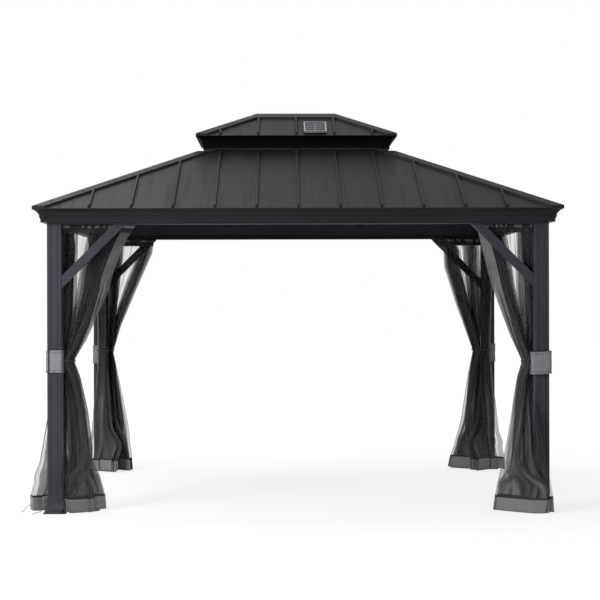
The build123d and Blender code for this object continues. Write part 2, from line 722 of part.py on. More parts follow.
def lead_gland():
    """The lead's gland on the roof above the solar panel, with the lead into the panel's edge."""
    plane = solar_plane(SOLAR_RUN + SOLAR_LENGTH + GLAND_RUN)
    profile = make_face(
        [
            Polyline((0, GLAND_HEIGHT), (0, 0), (GLAND_RADIUS, 0), (GLAND_RADIUS, GLAND_HEIGHT / 2)),
            Line((GLAND_RADIUS, GLAND_HEIGHT / 2), (GLAND_RADIUS / 2, GLAND_HEIGHT)),
            Line((GLAND_RADIUS / 2, GLAND_HEIGHT), (0, GLAND_HEIGHT)),
        ]
    )
    dome = revolve(Plane.XZ * profile, Axis.Z)
    lead = extrude(Plane.XZ * Pos(0, GLAND_HEIGHT) * Circle(LEAD_RADIUS), GLAND_RUN)
    return plane * (dome + lead)


os.makedirs("parts", exist_ok=True)

# Posts, feet, beams and braces
for corner, x_side, y_side in CORNERS:
    save(f"post_{corner}", Pos(x_side * POST_MIDDLE_X, y_side * POST_MIDDLE_Y) * post())
corner_places = [Pos(x_side * POST_MIDDLE_X, y_side * POST_MIDDLE_Y) for _, x_side, y_side in CORNERS]
save("base_plates", *[place * base_plate() for place in corner_places])
save("foot_covers", *[place * foot_cover() for place in corner_places])
front_beam = long_beam()
save("beam_front", *front_beam)
save("beam_back", *[mirror(length, about=Plane.XZ) for length in front_beam])
save("beam_left", short_beam())
save("beam_right", mirror(short_beam(), about=Plane.YZ))
save("knee_braces", *[copy for piece in corner_braces() for copy in four_ways(piece)])
save("net_rails", *net_rails())

# Roof frame
save("hip_rafters", *four_ways(hip_rafter()))
save("jack_rafters", *jack_rafters())
save("vent_ring", *vent_ring())
save("lantern_struts", *lantern_struts())
save("upper_rails", *upper_rails())
save("ridge_beam", ridge_beam())
save("upper_rafters", *four_ways(upper_rafter()))

# Roof skin
for name, roof in (("lower", LOWER), ("upper", UPPER)):
    front_panel = roof_panel(roof, "front")
    left_panel = roof_panel(roof, "left")
    save(f"{name}_roof_front", front_panel)
    save(f"{name}_roof_back", mirror(front_panel, about=Plane.XZ))
    save(f"{name}_roof_left", left_panel)
    save(f"{name}_roof_right", mirror(left_panel, about=Plane.YZ))
save("lower_hip_caps", *four_ways(hip_cap(LOWER)))
save("upper_hip_caps", *four_ways(hip_cap(UPPER)))
save("ridge_cap", cap(UPPER, crown_plan(UPPER, 0)))

# Fascia
front_fascia = fascia_front()
save("fascia_front", *front_fascia)
save("fascia_back", *[mirror(length, about=Plane.XZ) for length in front_fascia])
save("fascia_left", fascia_left())
save("fascia_right", mirror(fascia_left(), about=Plane.YZ))
save("fascia_corners", *four_ways(fascia_corner()))
save("upper_fascia", *upper_fascia())

# Nets, tie bands and tie strings
for corner, x_side, y_side in CORNERS:
    on_front = Pos(POST_SIZE - POST_X, NET_INSET - POST_Y) * long_net(corner)
    on_left = Pos(NET_INSET - POST_X, POST_SIZE - POST_Y) * Rot(Z=90) * short_net(corner)
    save(f"long_net_{corner}", at_corner(on_front, x_side, y_side))
    save(f"short_net_{corner}", at_corner(on_left, x_side, y_side))
band_steps = [FRONT_LEFT_BAND_STEP, FRONT_RIGHT_BAND_STEP, BACK_LEFT_BAND_STEP, BACK_RIGHT_BAND_STEP]
save("tie_bands", *[place * tie_band(NET_TIE + step) for place, step in zip(corner_places, band_steps)])
save("tie_string_outer", tie_string(OUTER_STRING))
save("tie_string_inner", tie_string(INNER_STRING))

# Solar panel
solar_frame, solar_cells = solar_panel()
save("solar_frame", solar_frame)
save("solar_cells", solar_cells)
save("solar_gland", lead_gland())
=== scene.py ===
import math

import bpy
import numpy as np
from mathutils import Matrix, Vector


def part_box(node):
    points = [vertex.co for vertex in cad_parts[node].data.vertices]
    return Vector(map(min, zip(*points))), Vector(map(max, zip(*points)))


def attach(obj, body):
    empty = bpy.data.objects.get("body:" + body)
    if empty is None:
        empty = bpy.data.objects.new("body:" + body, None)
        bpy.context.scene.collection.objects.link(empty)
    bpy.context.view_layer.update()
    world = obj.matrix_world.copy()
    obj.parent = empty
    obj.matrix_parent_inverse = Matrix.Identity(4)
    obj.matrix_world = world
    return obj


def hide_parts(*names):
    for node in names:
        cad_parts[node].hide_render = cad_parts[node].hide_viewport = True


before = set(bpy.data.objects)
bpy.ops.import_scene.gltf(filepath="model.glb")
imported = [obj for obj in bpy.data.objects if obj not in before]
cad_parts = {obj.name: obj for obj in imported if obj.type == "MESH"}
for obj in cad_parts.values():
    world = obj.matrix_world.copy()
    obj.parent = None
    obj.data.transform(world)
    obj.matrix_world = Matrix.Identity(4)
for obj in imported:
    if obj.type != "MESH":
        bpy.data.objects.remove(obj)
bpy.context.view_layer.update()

# %% [markdown]
# # A garden gazebo with a metal roof
# The posts, beams, roof and mouldings come from the solid model as a fixed frame. What Blender adds is
# everything that gives such a gazebo its look: paint, cloth, hooks, screws and light.


def put(name, data):
    """A new object that shows some data, put into the scene."""
    made = bpy.data.objects.new(name, data)
    bpy.context.collection.objects.link(made)
    return made


# %% [markdown]
# ## The view
# The photograph was taken from eye height, almost square to the long side and from far away, so the lines
# hardly converge. A lens of 95 mm at twelve metres gives that. Turning the camera by hand until it looks
# right also works, but a camera fitted to the roof's corners is exact, so its numbers are set here.

# %% Camera
CAMERA_PLACE = (-0.1483, -12.3734, 1.4722)
CAMERA_TURN = -0.0144
CAMERA_ROLL = -0.0026

lens = bpy.data.cameras.new("photo_view")
lens.sensor_width = 36.0
lens.lens = 94.76
lens.clip_end = 200.0
camera = put("photo_view", lens)
turn = Matrix.Rotation(CAMERA_TURN, 4, "Z") @ Matrix.Rotation(math.pi / 2, 4, "X")
camera.matrix_world = Matrix.Translation(CAMERA_PLACE) @ turn @ Matrix.Rotation(CAMERA_ROLL, 4, "Z")
bpy.context.scene.camera = camera
bpy.context.scene.view_settings.view_transform = "Standard"
print("camera", round(lens.lens, 2), "mm")

# %% [markdown]
# ## Node helpers
# A material is a small network. A few helpers keep the networks readable: one adds a node and fills its
# inputs, others stand for the nodes used most, and one starts a group with named sockets. An effect that
# several finishes share, such as the fine skin of powder paint, is built once as a group and then placed
# in each of them.

# %% Node helpers
def fill(tree, node, inputs):
    """Fill a node's inputs, each with a value or by a link from another socket."""
    for name, value in inputs.items():
        if isinstance(value, bpy.types.NodeSocket):
            tree.links.new(value, node.inputs[name])
        else:
            node.inputs[name].default_value = value


def add(tree, kind, inputs=None, **settings):
    """Add a node. Settings are its options, and inputs holds values to set or sockets to link."""
    made = tree.nodes.new(kind)
    for name, value in settings.items():
        setattr(made, name, value)
    fill(tree, made, inputs or {})
    return made


def arithmetic(tree, operation, first, second=0.0, third=0.0):
    """One Math node; returns its value."""
    return add(tree, "ShaderNodeMath", {0: first, 1: second, 2: third}, operation=operation).outputs[0]


def ramp(tree, value, low, high, start=0.0, end=1.0):
    """A smooth step from start to end as a value goes from low to high."""
    inputs = {"Value": value, "From Min": low, "From Max": high, "To Min": start, "To Max": end}
    return add(tree, "ShaderNodeMapRange", inputs, interpolation_type="SMOOTHSTEP").outputs["Result"]


def blend(tree, factor, first, second, share=1.0):
    """A colour between two colours, by a factor or by a share of it."""
    if share != 1.0:
        factor = arithmetic(tree, "MULTIPLY", factor, share)
    return add(tree, "ShaderNodeMix", {0: factor, 6: first, 7: second}, data_type="RGBA").outputs[2]


def noise(tree, place, scale, detail, rough=0.5):
    """Cloudy noise with a scale and a depth of detail; returns its value."""
    inputs = {"Vector": place, "Scale": scale, "Detail": detail, "Roughness": rough}
    return add(tree, "ShaderNodeTexNoise", inputs).outputs["Fac"]


def scaled(tree, place, factors):
    """A place with each of its coordinates multiplied by a factor."""
    return add(tree, "ShaderNodeVectorMath", {0: place, 1: factors}, operation="MULTIPLY").outputs[0]


def bumps(tree, height, strength, distance):
    """A normal tilted by the slope of a height."""
    inputs = {"Strength": strength, "Distance": distance, "Height": height}
    return add(tree, "ShaderNodeBump", inputs).outputs["Normal"]


def split(tree, place):
    """The coordinates of a place, by their axes."""
    return add(tree, "ShaderNodeSeparateXYZ", {0: place}).outputs


def body_place(tree):
    """The place on a piece, in metres."""
    return add(tree, "ShaderNodeTexCoord").outputs["Object"]


def cloth_place(tree):
    """The place on a flat cloth, in metres."""
    return add(tree, "ShaderNodeUVMap", uv_map="cloth").outputs["UV"]


def start_group(name, vectors, values, results):
    """A new shader group with named sockets; returns the group, the sockets given and its output node."""
    group = bpy.data.node_groups.new(name, "ShaderNodeTree")
    sockets = [(label, "INPUT", "NodeSocketVector") for label in vectors]
    sockets += [(label, "INPUT", "NodeSocketFloat") for label in values]
    sockets += [(label, "OUTPUT", "NodeSocketFloat") for label in results]
    for label, way, kind in sockets:
        group.interface.new_socket(label, in_out=way, socket_type=kind)
    return group, group.nodes.new("NodeGroupInput").outputs, group.nodes.new("NodeGroupOutput")


def place_group(tree, group, inputs):
    """Put a shader group into a material and fill its inputs."""
    return add(tree, "ShaderNodeGroup", inputs, node_tree=group).outputs


def start_material(name, shine=0.5):
    """A material with only a Principled BSDF in it; returns the material, its tree and that shader."""
    material = bpy.data.materials.new(name)
    material.use_nodes = True
    shader = material.node_tree.nodes["Principled BSDF"]
    shader.inputs["Specular IOR Level"].default_value = shine
    return material, material.node_tree, shader


def grey(level, blue=0.0):
    """A colour near grey, with a little more blue or, below zero, less."""
    return (level, level, level * (1 + blue), 1.0)


print("helpers ready")

# %% [markdown]
# ## Shared effects
# Powder paint flows out into a skin like an orange's peel, with faint clouds of tone. Rain leaves long
# streaks down a slope and dust settles low on whatever stands on the ground. Cloth shows its threads and,
# where it is bunched up, long thin gathers. Each of these is a group that reads a place on the surface and
# gives back masks and heights.

# %% Paint skin, rain streaks and ground dust
paint_skin, given, result = start_group("paint_skin", ["Place"], ["Grain"], ["Height", "Clouds"])
peel = noise(paint_skin, given["Place"], given["Grain"], 2.0)
clouds = noise(paint_skin, given["Place"], 2.3, 5.0, 0.62)
fill(paint_skin, result, {"Height": peel, "Clouds": ramp(paint_skin, clouds, 0.3, 0.7)})

rain_streaks, given, result = start_group("rain_streaks", [], ["Across", "Down"], ["Streaks"])
across = arithmetic(rain_streaks, "MULTIPLY", given["Across"], 26.0)
down = arithmetic(rain_streaks, "MULTIPLY", given["Down"], 1.1)
stretched = add(rain_streaks, "ShaderNodeCombineXYZ", {"X": across, "Y": down}).outputs[0]
streaks = noise(rain_streaks, stretched, 1.0, 4.0)
fill(rain_streaks, result, {"Streaks": ramp(rain_streaks, streaks, 0.42, 0.72)})

ground_dust, given, result = start_group("ground_dust", ["Place"], ["Reach"], ["Dust"])
height = split(ground_dust, given["Place"])["Z"]
patches = noise(ground_dust, given["Place"], 24.0, 5.0)
fade = ramp(ground_dust, height, 0.0, given["Reach"], 1.0, 0.0)
spots = ramp(ground_dust, patches, 0.38, 0.74)
fill(ground_dust, result, {"Dust": arithmetic(ground_dust, "MULTIPLY", fade, spots)})
print("groups", [group.name for group in bpy.data.node_groups])

# %% Cloth threads
cloth_threads, given, result = start_group("cloth_threads", ["Cloth"], ["Threads"], ["Threads", "Slubs"])
parts = split(cloth_threads, given["Cloth"])
waves = []
for axis in ("X", "Y"):
    phase = arithmetic(cloth_threads, "MULTIPLY", parts[axis], given["Threads"])
    wave = arithmetic(cloth_threads, "SINE", arithmetic(cloth_threads, "MULTIPLY", phase, 2 * math.pi))
    waves.append(arithmetic(cloth_threads, "MULTIPLY_ADD", wave, 0.5, 0.5))
woven = arithmetic(cloth_threads, "MAXIMUM", waves[0], waves[1])
slubs = noise(cloth_threads, given["Cloth"], 14.0, 4.0)
fill(cloth_threads, result, {"Threads": woven, "Slubs": ramp(cloth_threads, slubs, 0.3, 0.7)})
print("threads", len(cloth_threads.nodes), "nodes")

# %% Cloth gathers
cloth_gathers, given, result = start_group("cloth_gathers", ["Cloth"], [], ["Gathers"])
squeezed = scaled(cloth_gathers, given["Cloth"], (1.0, 0.014, 0.0))
lines = noise(cloth_gathers, squeezed, 40.0, 4.0, 0.65)
fill(cloth_gathers, result, {"Gathers": ramp(cloth_gathers, lines, 0.48, 0.70)})
print("gathers", len(cloth_gathers.nodes), "nodes")

# %% [markdown]
# ## Powder-coated metal
# Posts, beams and braces share one charcoal powder coat, and the crown moulding is nearer black. The upper
# moulding has the moulding's paint made darker still, as painted shade under the upper roof. Each is made
# by the same function: a base tone moved a little by the clouds, dust low down, a roughness that follows
# the clouds, and a shallow bump from the paint's skin. A flat grey would do from far away, but up close
# only the skin tells paint from plastic.

# %% Powder coats
PEEL_DEPTH = 0.0004
DUST = (0.12, 0.115, 0.105, 1.0)


def powder_coat(name, level, blue, rough, dust_reach=0.0, shine=0.5):
    """A powder coat: tone from clouds, ground dust up to a height, bump from the paint's skin."""
    material, tree, shader = start_material(name, shine)
    place = body_place(tree)
    skin = place_group(tree, paint_skin, {"Place": place, "Grain": 700.0})
    tone = blend(tree, skin["Clouds"], grey(level * 0.86, blue), grey(level * 1.14, blue))
    if dust_reach:
        dust = place_group(tree, ground_dust, {"Place": place, "Reach": dust_reach})["Dust"]
        tone = blend(tree, dust, tone, DUST, 0.2)
    roughness = ramp(tree, skin["Clouds"], 0.0, 1.0, rough - 0.05, rough + 0.06)
    normal = bumps(tree, skin["Height"], 0.25, PEEL_DEPTH)
    fill(tree, shader, {"Base Color": tone, "Roughness": roughness, "Normal": normal})
    return material


frame_paint = powder_coat("charcoal_powder_coat", 0.038, 0.28, 0.5, dust_reach=0.35, shine=0.12)
roof_frame_paint = powder_coat("roof_frame_coat", 0.02, 0.05, 0.55, shine=0.1)
moulding_paint = powder_coat("moulding_coat", 0.0155, 0.15, 0.42, shine=0.1)
# The upper moulding is the same paint made near black: painted shade under the upper roof.
shaded_moulding_paint = powder_coat("moulding_coat_painted_shade", 0.004, 0.05, 0.55, shine=0.02)
cap_paint = powder_coat("roof_cap_coat", 0.024, 0.0, 0.42, shine=0.05)
screw_paint = powder_coat("screw_coat", 0.02, 0.0, 0.4, shine=0.3)
print("powder coats", 6)

# %% [markdown]
# ## Roof sheet
# Each slope is folded from separate pans with a seam between them, so neighbouring pans never match
# exactly. The finish picks a tone for each pan from its number across the slope, then lays rain streaks
# down the slope. The front slope counts its pans along X and the side slope along Y, so there are two
# materials from one function.

# %% Roof sheets
SEAM_PITCH = 0.288
ROOF_LEVEL = 0.0205


def roof_coat(name, across_axis, level):
    """Roof paint: a tone for each pan, rain streaks that run down the slope, and the paint's skin."""
    material, tree, shader = start_material(name, 0.04)
    place = body_place(tree)
    parts = split(tree, place)
    across, down = parts[across_axis], parts["Y" if across_axis == "X" else "X"]
    pan = arithmetic(tree, "FLOOR", arithmetic(tree, "DIVIDE", across, SEAM_PITCH))
    pan_tone = add(tree, "ShaderNodeTexWhiteNoise", {"W": pan}, noise_dimensions="1D").outputs["Value"]
    skin = place_group(tree, paint_skin, {"Place": place, "Grain": 520.0})
    streaks = place_group(tree, rain_streaks, {"Across": across, "Down": down})["Streaks"]
    tone = blend(tree, pan_tone, grey(level * 0.93), grey(level * 1.07))
    tone = blend(tree, streaks, tone, grey(level * 2.2, -0.05), 0.10)
    tone = blend(tree, skin["Clouds"], tone, grey(level * 0.8), 0.25)
    roughness = ramp(tree, streaks, 0.0, 1.0, 0.40, 0.5)
    normal = bumps(tree, skin["Height"], 0.2, PEEL_DEPTH)
    fill(tree, shader, {"Base Color": tone, "Roughness": roughness, "Normal": normal})
    return material


roof_long_paint = roof_coat("roof_sheet_long", "X", ROOF_LEVEL)
roof_short_paint = roof_coat("roof_sheet_short", "Y", ROOF_LEVEL)
print("roof coats", 2)

# %% [markdown]
# ## Solar panel
# The little panel is two columns of dark blue cells behind glass, with thin silver fingers, in an
# anodised frame. The cells are a pattern on the plate: lines wherever the place along the panel comes
# near a whole number of cells.

# %% Solar panel
CELL_COLUMNS, CELL_ROWS, FINGERS = 2, 4, 6
COLUMN_GAP, ROW_GAP, FINGER_WIDTH = 0.004, 0.003, 0.0012
CELL_BLUE = (0.012, 0.016, 0.032, 1.0)
FINGER_SILVER = (0.20, 0.21, 0.23, 1.0)
GAP_GREY = (0.24, 0.245, 0.25, 1.0)


def cell_lines(tree, value, start, pitch, width):
    """1 on thin lines a pitch apart: the distance to the nearest whole pitch is under half the width."""
    count = arithmetic(tree, "DIVIDE", arithmetic(tree, "SUBTRACT", value, start), pitch)
    nearest = arithmetic(tree, "ROUND", count)
    near = arithmetic(tree, "ABSOLUTE", arithmetic(tree, "SUBTRACT", count, nearest))
    return arithmetic(tree, "LESS_THAN", near, width / pitch / 2)


solar_glass, tree, shader = start_material("solar_cells", 0.07)
cell_low, cell_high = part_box("solar_cells")
parts = split(tree, body_place(tree))
cell_width = (cell_high[0] - cell_low[0]) / CELL_COLUMNS
cell_length = (cell_high[1] - cell_low[1]) / CELL_ROWS
column_gaps = cell_lines(tree, parts["X"], cell_low[0], cell_width, COLUMN_GAP)
row_gaps = cell_lines(tree, parts["Y"], cell_low[1], cell_length, ROW_GAP)
gaps = arithmetic(tree, "MAXIMUM", column_gaps, row_gaps)
fingers = cell_lines(tree, parts["X"], cell_low[0], cell_width / FINGERS, FINGER_WIDTH)
blue = blend(tree, fingers, CELL_BLUE, FINGER_SILVER, 0.35)
tone = blend(tree, gaps, blue, GAP_GREY)
fill(tree, shader, {"Base Color": tone, "Roughness": 0.3})

anodised, tree, shader = start_material("anodised_frame")
skin = place_group(tree, paint_skin, {"Place": body_place(tree), "Grain": 1500.0})
tone = blend(tree, skin["Clouds"], grey(0.20), grey(0.25))
roughness = ramp(tree, skin["Height"], 0.3, 0.7, 0.34, 0.44)
fill(tree, shader, {"Base Color": tone, "Roughness": roughness, "Metallic": 0.6})
print("solar cells", round(cell_width * 1000), "by", round(cell_length * 1000), "mm")

# %% [markdown]
# ## Paint on the frame
# The solid model's pieces keep their shapes. Each only needs its finish, which its name decides.

# %% Finishes of the solid pieces
black_plastic = powder_coat("black_plastic", 0.012, 0.0, 0.5)
FINISHES = [
    (["roof_front", "roof_back"], roof_long_paint),
    (["roof_left", "roof_right"], roof_short_paint),
    (["cap"], cap_paint),
    (["upper_fascia"], shaded_moulding_paint),
    (["fascia"], moulding_paint),
    (["rafter", "vent_ring", "lantern", "rails", "ridge_beam"], roof_frame_paint),
    (["solar_frame"], anodised),
    (["solar_cells"], solar_glass),
    (["solar_gland"], black_plastic),
    ([""], frame_paint),
]
for node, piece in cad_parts.items():
    finish = next(material for parts, material in FINISHES if any(part in node for part in parts))
    piece.data.materials.clear()
    piece.data.materials.append(finish)
print("painted", len(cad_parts), "pieces")

# %% [markdown]
# ## Surfaces from arrays
# Apart from two strings, each new piece is a surface worked out with numpy: a grid of points, and faces
# between neighbours on the grid. The grid's own rows and columns also give cloth its coordinates, in
# metres, so a weave keeps its scale however the cloth is folded.

# %% Grid surfaces
def grid_faces(rows, columns, wrap=False):
    """The quads between neighbouring points of a grid whose points are numbered row by row."""
    across = columns if wrap else columns - 1
    row, column = np.meshgrid(np.arange(rows - 1), np.arange(across), indexing="ij")
    right = (column + 1) % columns
    low, high = row * columns, (row + 1) * columns
    return np.stack([low + column, low + right, high + right, high + column], axis=-1).reshape(-1, 4)


def make_piece(name, points, faces, material, cloth=None, tint=None):
    """A smooth mesh piece from points and quads, with cloth coordinates and a tint for each point."""
    mesh = bpy.data.meshes.new(name)
    mesh.from_pydata(points.reshape(-1, 3).tolist(), [], faces.tolist())
    mesh.shade_smooth()
    if cloth is not None:
        layer = mesh.uv_layers.new(name="cloth")
        layer.data.foreach_set("uv", cloth.reshape(-1, 2)[faces.reshape(-1)].reshape(-1))
    if tint is not None:
        colours = np.column_stack([tint.reshape(-1, 3), np.ones(points.size // 3)])
        mesh.attributes.new("tint", "FLOAT_COLOR", "POINT").data.foreach_set("color", colours.reshape(-1))
    mesh.materials.append(material)
    mesh.update()
    piece = put(name, mesh)
    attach(piece, "root")
    return piece


def thicken(piece, thickness, offset):
    """Give a cloth its thickness: to both sides with an offset of 0, outwards with 1."""
    thick = piece.modifiers.new("cloth", "SOLIDIFY")
    thick.thickness = thickness
    thick.offset = offset


def smooth_step(value):
    """0 below 0, 1 above 1, and a smooth rise between."""
    value = np.clip(value, 0.0, 1.0)
    return value * value * (3 - 2 * value)


print("grid of 3 by 4 points has", len(grid_faces(3, 4)), "faces")

# %% [markdown]
# ## Tie strings
# Two thin strings run out from under the front left net and end on the ground. Each is a curve whose
# control points are the route, so it comes out smooth, with a round section.

# %% Tie strings
STRING_CORNER = np.array([-1.8533, -1.3013, 0.0])
OUTER_STEPS = [(0, 15, 45), (-22, 15, 45), (-46, 2, 33), (-63, -22, 15), (-72, -48, 4.5), (-78, -73, 2.3)]
INNER_STEPS = [(63, 0, 13), (63, -20, 13), (56, -46, 5), (41, -72, 2.4), (27, -105, 2.3)]
INNER_STEPS += [(19, -138, 2.5), (16, -163, 2.3)]
MILLIMETRE = 0.001
STRING_RADIUS = 0.002

string_braid, tree, shader = start_material("string_braid")
strands = {"Vector": body_place(tree), "Scale": 260.0, "Distortion": 1.5}
braid = add(tree, "ShaderNodeTexWave", strands, bands_direction="DIAGONAL").outputs["Fac"]
tone = blend(tree, braid, grey(0.035), grey(0.085))
fill(tree, shader, {"Base Color": tone, "Roughness": 0.8, "Normal": bumps(tree, braid, 0.5, 0.0005)})


def tie_string(name, steps):
    """A round string whose smooth line has the route's points as its control points."""
    route = STRING_CORNER + np.array(steps) * MILLIMETRE
    curve = bpy.data.curves.new(name, "CURVE")
    curve.dimensions = "3D"
    curve.bevel_depth = STRING_RADIUS
    curve.bevel_resolution = 4
    curve.resolution_u = 8
    curve.use_fill_caps = True
    line = curve.splines.new("NURBS")
    line.points.add(len(route) - 1)
    line.points.foreach_set("co", np.column_stack([route, np.ones(len(route))]).reshape(-1))
    line.order_u = 3
    line.use_endpoint_u = True
    curve.materials.append(string_braid)
    piece = put(name, curve)
    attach(piece, "root")
    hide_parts(f"tie_{name}")


tie_string("string_outer", OUTER_STEPS)
tie_string("string_inner", INNER_STEPS)
print("strings", 2)

# %% [markdown]
# ## Nets
# Each net is one flat panel of black mesh that hangs from hooks on its rail. Drawn aside and tied, it is
# wide at the top, pinched at a waist and spread again at the hem. It could be simulated, but a gathered
# curtain is easier to steer as a formula: at every height the panel is a row of pleats between two edges.
# The pleats lean over like a fanned pack of cards, so that several layers lie behind each other. Their depth
# is solved for each row so that the row is as long as the flat panel, so the cloth neither stretches nor
# shrinks. Below the waist many small pleats run together into a few large folds.

# %% Net shapes
NET_LOW, NET_HIGH = 0.008, 1.999
HEM_HEIGHT, HEADER_HEIGHT, BORDER = 0.104, 0.056, 0.066
POST_FACE_X, POST_FACE_Y = 1.640, 1.335  # inner faces of the posts
RAIL_X, RAIL_Y = 1.667, 1.362  # where the nets hang
PLEATS, HOOKS = 12.5, 13
FOLD_TOP, FOLD_FALL = 0.50, 0.42  # where small pleats run together into large folds
APRON_REACH, APRON_TOP = 0.29, 0.98  # how far from the post and how high an apron sweeps out
APRON_FADE, APRON_FALL = 0.25, 0.42
FULL = np.linspace(0.0, 1.0, 421)
DEPTHS = np.linspace(0.0, 0.13, 27)


def profile(shape, key, height):
    """A value stated for the hem, the waist and the top, or at stated heights, straight between them."""
    stated = np.array(shape[key])
    levels = np.array([0.1, shape["waist"], 2.0]) if stated.ndim == 1 else stated[:, 0]
    values = stated if stated.ndim == 1 else stated[:, 1]
    return np.interp(height, levels, values)[:, None]


def spread_out(shape, body, level):
    """How far shares of the cloth lie along their row: as they are at level 0, one stretch wide at 1."""
    first, first_place, second, second_place = shape["flat"]
    drawn = np.interp(body, (0.0, first, second, 1.0), (0.0, first_place, second_place, 1.0))
    return body + level * (drawn - body)


def pulled_wide(shape, along):
    """1 on the stretch of the cloth that is drawn flat, and 0 on the rest."""
    first, _, second, _ = shape["flat"]
    edges = (first - 0.04, first + 0.01, second - 0.01, second + 0.04)
    return np.interp(along, edges, (0.0, 1.0, 1.0, 0.0))


def pleat_wave(shape, along, height):
    """Pleats along the cloth from -1 at the post to 1 at the edge: small ones, and large folds low down."""
    seed, waist, tall = shape["seed"], shape["waist"], height[:, None]
    sway = 0.016 * np.sin(2 * np.pi * (1.7 * along + 0.31 * tall) + seed)
    sway += 0.009 * np.sin(2 * np.pi * (4.3 * along - 0.23 * tall) + 2.1 * seed)
    sway *= np.sin(np.pi * along)
    small = -np.cos(2 * np.pi * PLEATS * (along + 0.6 * sway))
    large = -np.cos(2 * np.pi * shape["folds"] * (along + 1.4 * sway))
    merge = 0.3 * smooth_step((waist - 0.10 - tall) / 0.5) + 0.7 * smooth_step((FOLD_TOP - tall) / FOLD_FALL)
    swell = 0.5 + 0.5 * np.sin(2 * np.pi * 2.3 * along + 3.1 * seed)
    uneven = 1 - shape["uneven"] * swell * np.sin(np.pi * along)
    calm = 1 - profile(shape, "calm", height) * pulled_wide(shape, along)
    return ((1 - merge) * small + merge * large) * uneven * calm


def pleated_rows(shape, along, height, depth):
    """Rows of pleats at shares along the cloth and at heights, for a given depth of pleat.

    Across the rail a row is its middle line, plus its stack, less fan times depth times wave. Along the rail
    it runs from the post to the leading edge and leans over by lean times depth times wave. The border is the
    last pass: with a fan of 1 the outermost, with -1 the innermost. With turn it runs on along the rail,
    and with veer also outwards. Where it is held narrow it is creased.
    """
    keys = ("start", "end", "middle", "lean", "stack", "crowd", "ends", "hold", "reach", "veer")
    values = [profile(shape, key, height) for key in keys]
    start, end, middle, lean, stack, crowd, ends, hold, reach, veer = values
    turn = shape["turn"] * hold * BORDER
    ahead = turn * np.sqrt(1 - veer**2)
    over = np.minimum(lean * depth, 0.46 * (end - start - ahead))
    share = BORDER / shape["width"]
    edge = np.maximum(along - 1 + share, 0.0) / share
    rise = reach - np.minimum(hold * BORDER / np.maximum(over, 0.001), 2.0) * (1 - edge)
    rise = np.where(turn > 0, -1.0, rise)
    near = smooth_step((along - 1 + 1.6 * share) / (0.6 * share))
    wave = pleat_wave(shape, along, height) * (1 - near) + rise * near
    body = np.minimum(along / (1 - share), 1.0)
    place = spread_out(shape, body + crowd * body * (1 - body), ends)
    rail = start + (end - start - 2 * over - ahead) * place + over * (wave + 1) + ahead * edge
    lead = np.clip((APRON_REACH - rail) / APRON_FADE, 0, 1)
    lead = lead * smooth_step((APRON_TOP - height[:, None]) / APRON_FALL)
    crease = BORDER / 8 * np.sqrt(1 - hold**2) * np.sin(4 * np.pi * edge)
    out = shape["fan"] * (crease - depth * wave) + turn * edge * veer
    return rail, middle + shape["apron"] * lead + stack * (place - 0.5) + out


def net_rows(shape, along, height):
    """Where the net lies, with the depth of pleat at which each whole row is as long as the flat panel."""
    rail, across = pleated_rows(shape, FULL, height, DEPTHS[:, None, None])
    run = np.hypot(np.diff(rail), np.diff(across)).sum(axis=-1)
    above = (run < shape["width"]).sum(axis=0).clip(1, len(DEPTHS) - 1)
    row = np.arange(len(height))
    low, high = run[above - 1, row], run[above, row]
    part = np.clip((shape["width"] - low) / (high - low), 0, 1)
    depth = DEPTHS[above - 1] * (1 - part) + DEPTHS[above] * part
    return pleated_rows(shape, along, height, depth[:, None])


def on_plan(shape, rail, across):
    """Places on the ground plan: along the rail from the post, and across it outwards."""
    origin, rail_way, out_way = (np.array(shape[key]) for key in ("origin", "rail_way", "out_way"))
    return origin + rail[..., None] * rail_way + across[..., None] * out_way


def net_points(shape, along, height):
    """The net's points in space: its rows on plan, with a hem that waves and a top that sags a little."""
    rail, across = net_rows(shape, along, height)
    ground = on_plan(shape, rail, across)
    lift = np.broadcast_to(height[:, None], rail.shape)
    low = smooth_step((0.5 - lift) / 0.5) * 0.007 * np.sin(2 * np.pi * 1.6 * along + shape["seed"])
    sag = 0.0015 * np.cos(np.pi * HOOKS * along) ** 2
    droop = smooth_step((lift - 1.75) / 0.2) * sag
    return np.concatenate([ground, (lift + low - droop)[..., None]], axis=-1)


print("net from", NET_LOW, "to", NET_HIGH, "m")

# %% [markdown]
# ## Where the nets hang
# A long side's net hangs beside each post on the front and the back, a short side's net on the left and
# the right. A list of pairs gives heights and the value at each, such as how far an edge lies along the
# rail from the post's face. Three numbers alone give a value at the hem, the waist and the top. The leading
# edges follow the photograph: the front left net is drawn least, and the front right one sweeps round the
# front of its post below the tie.

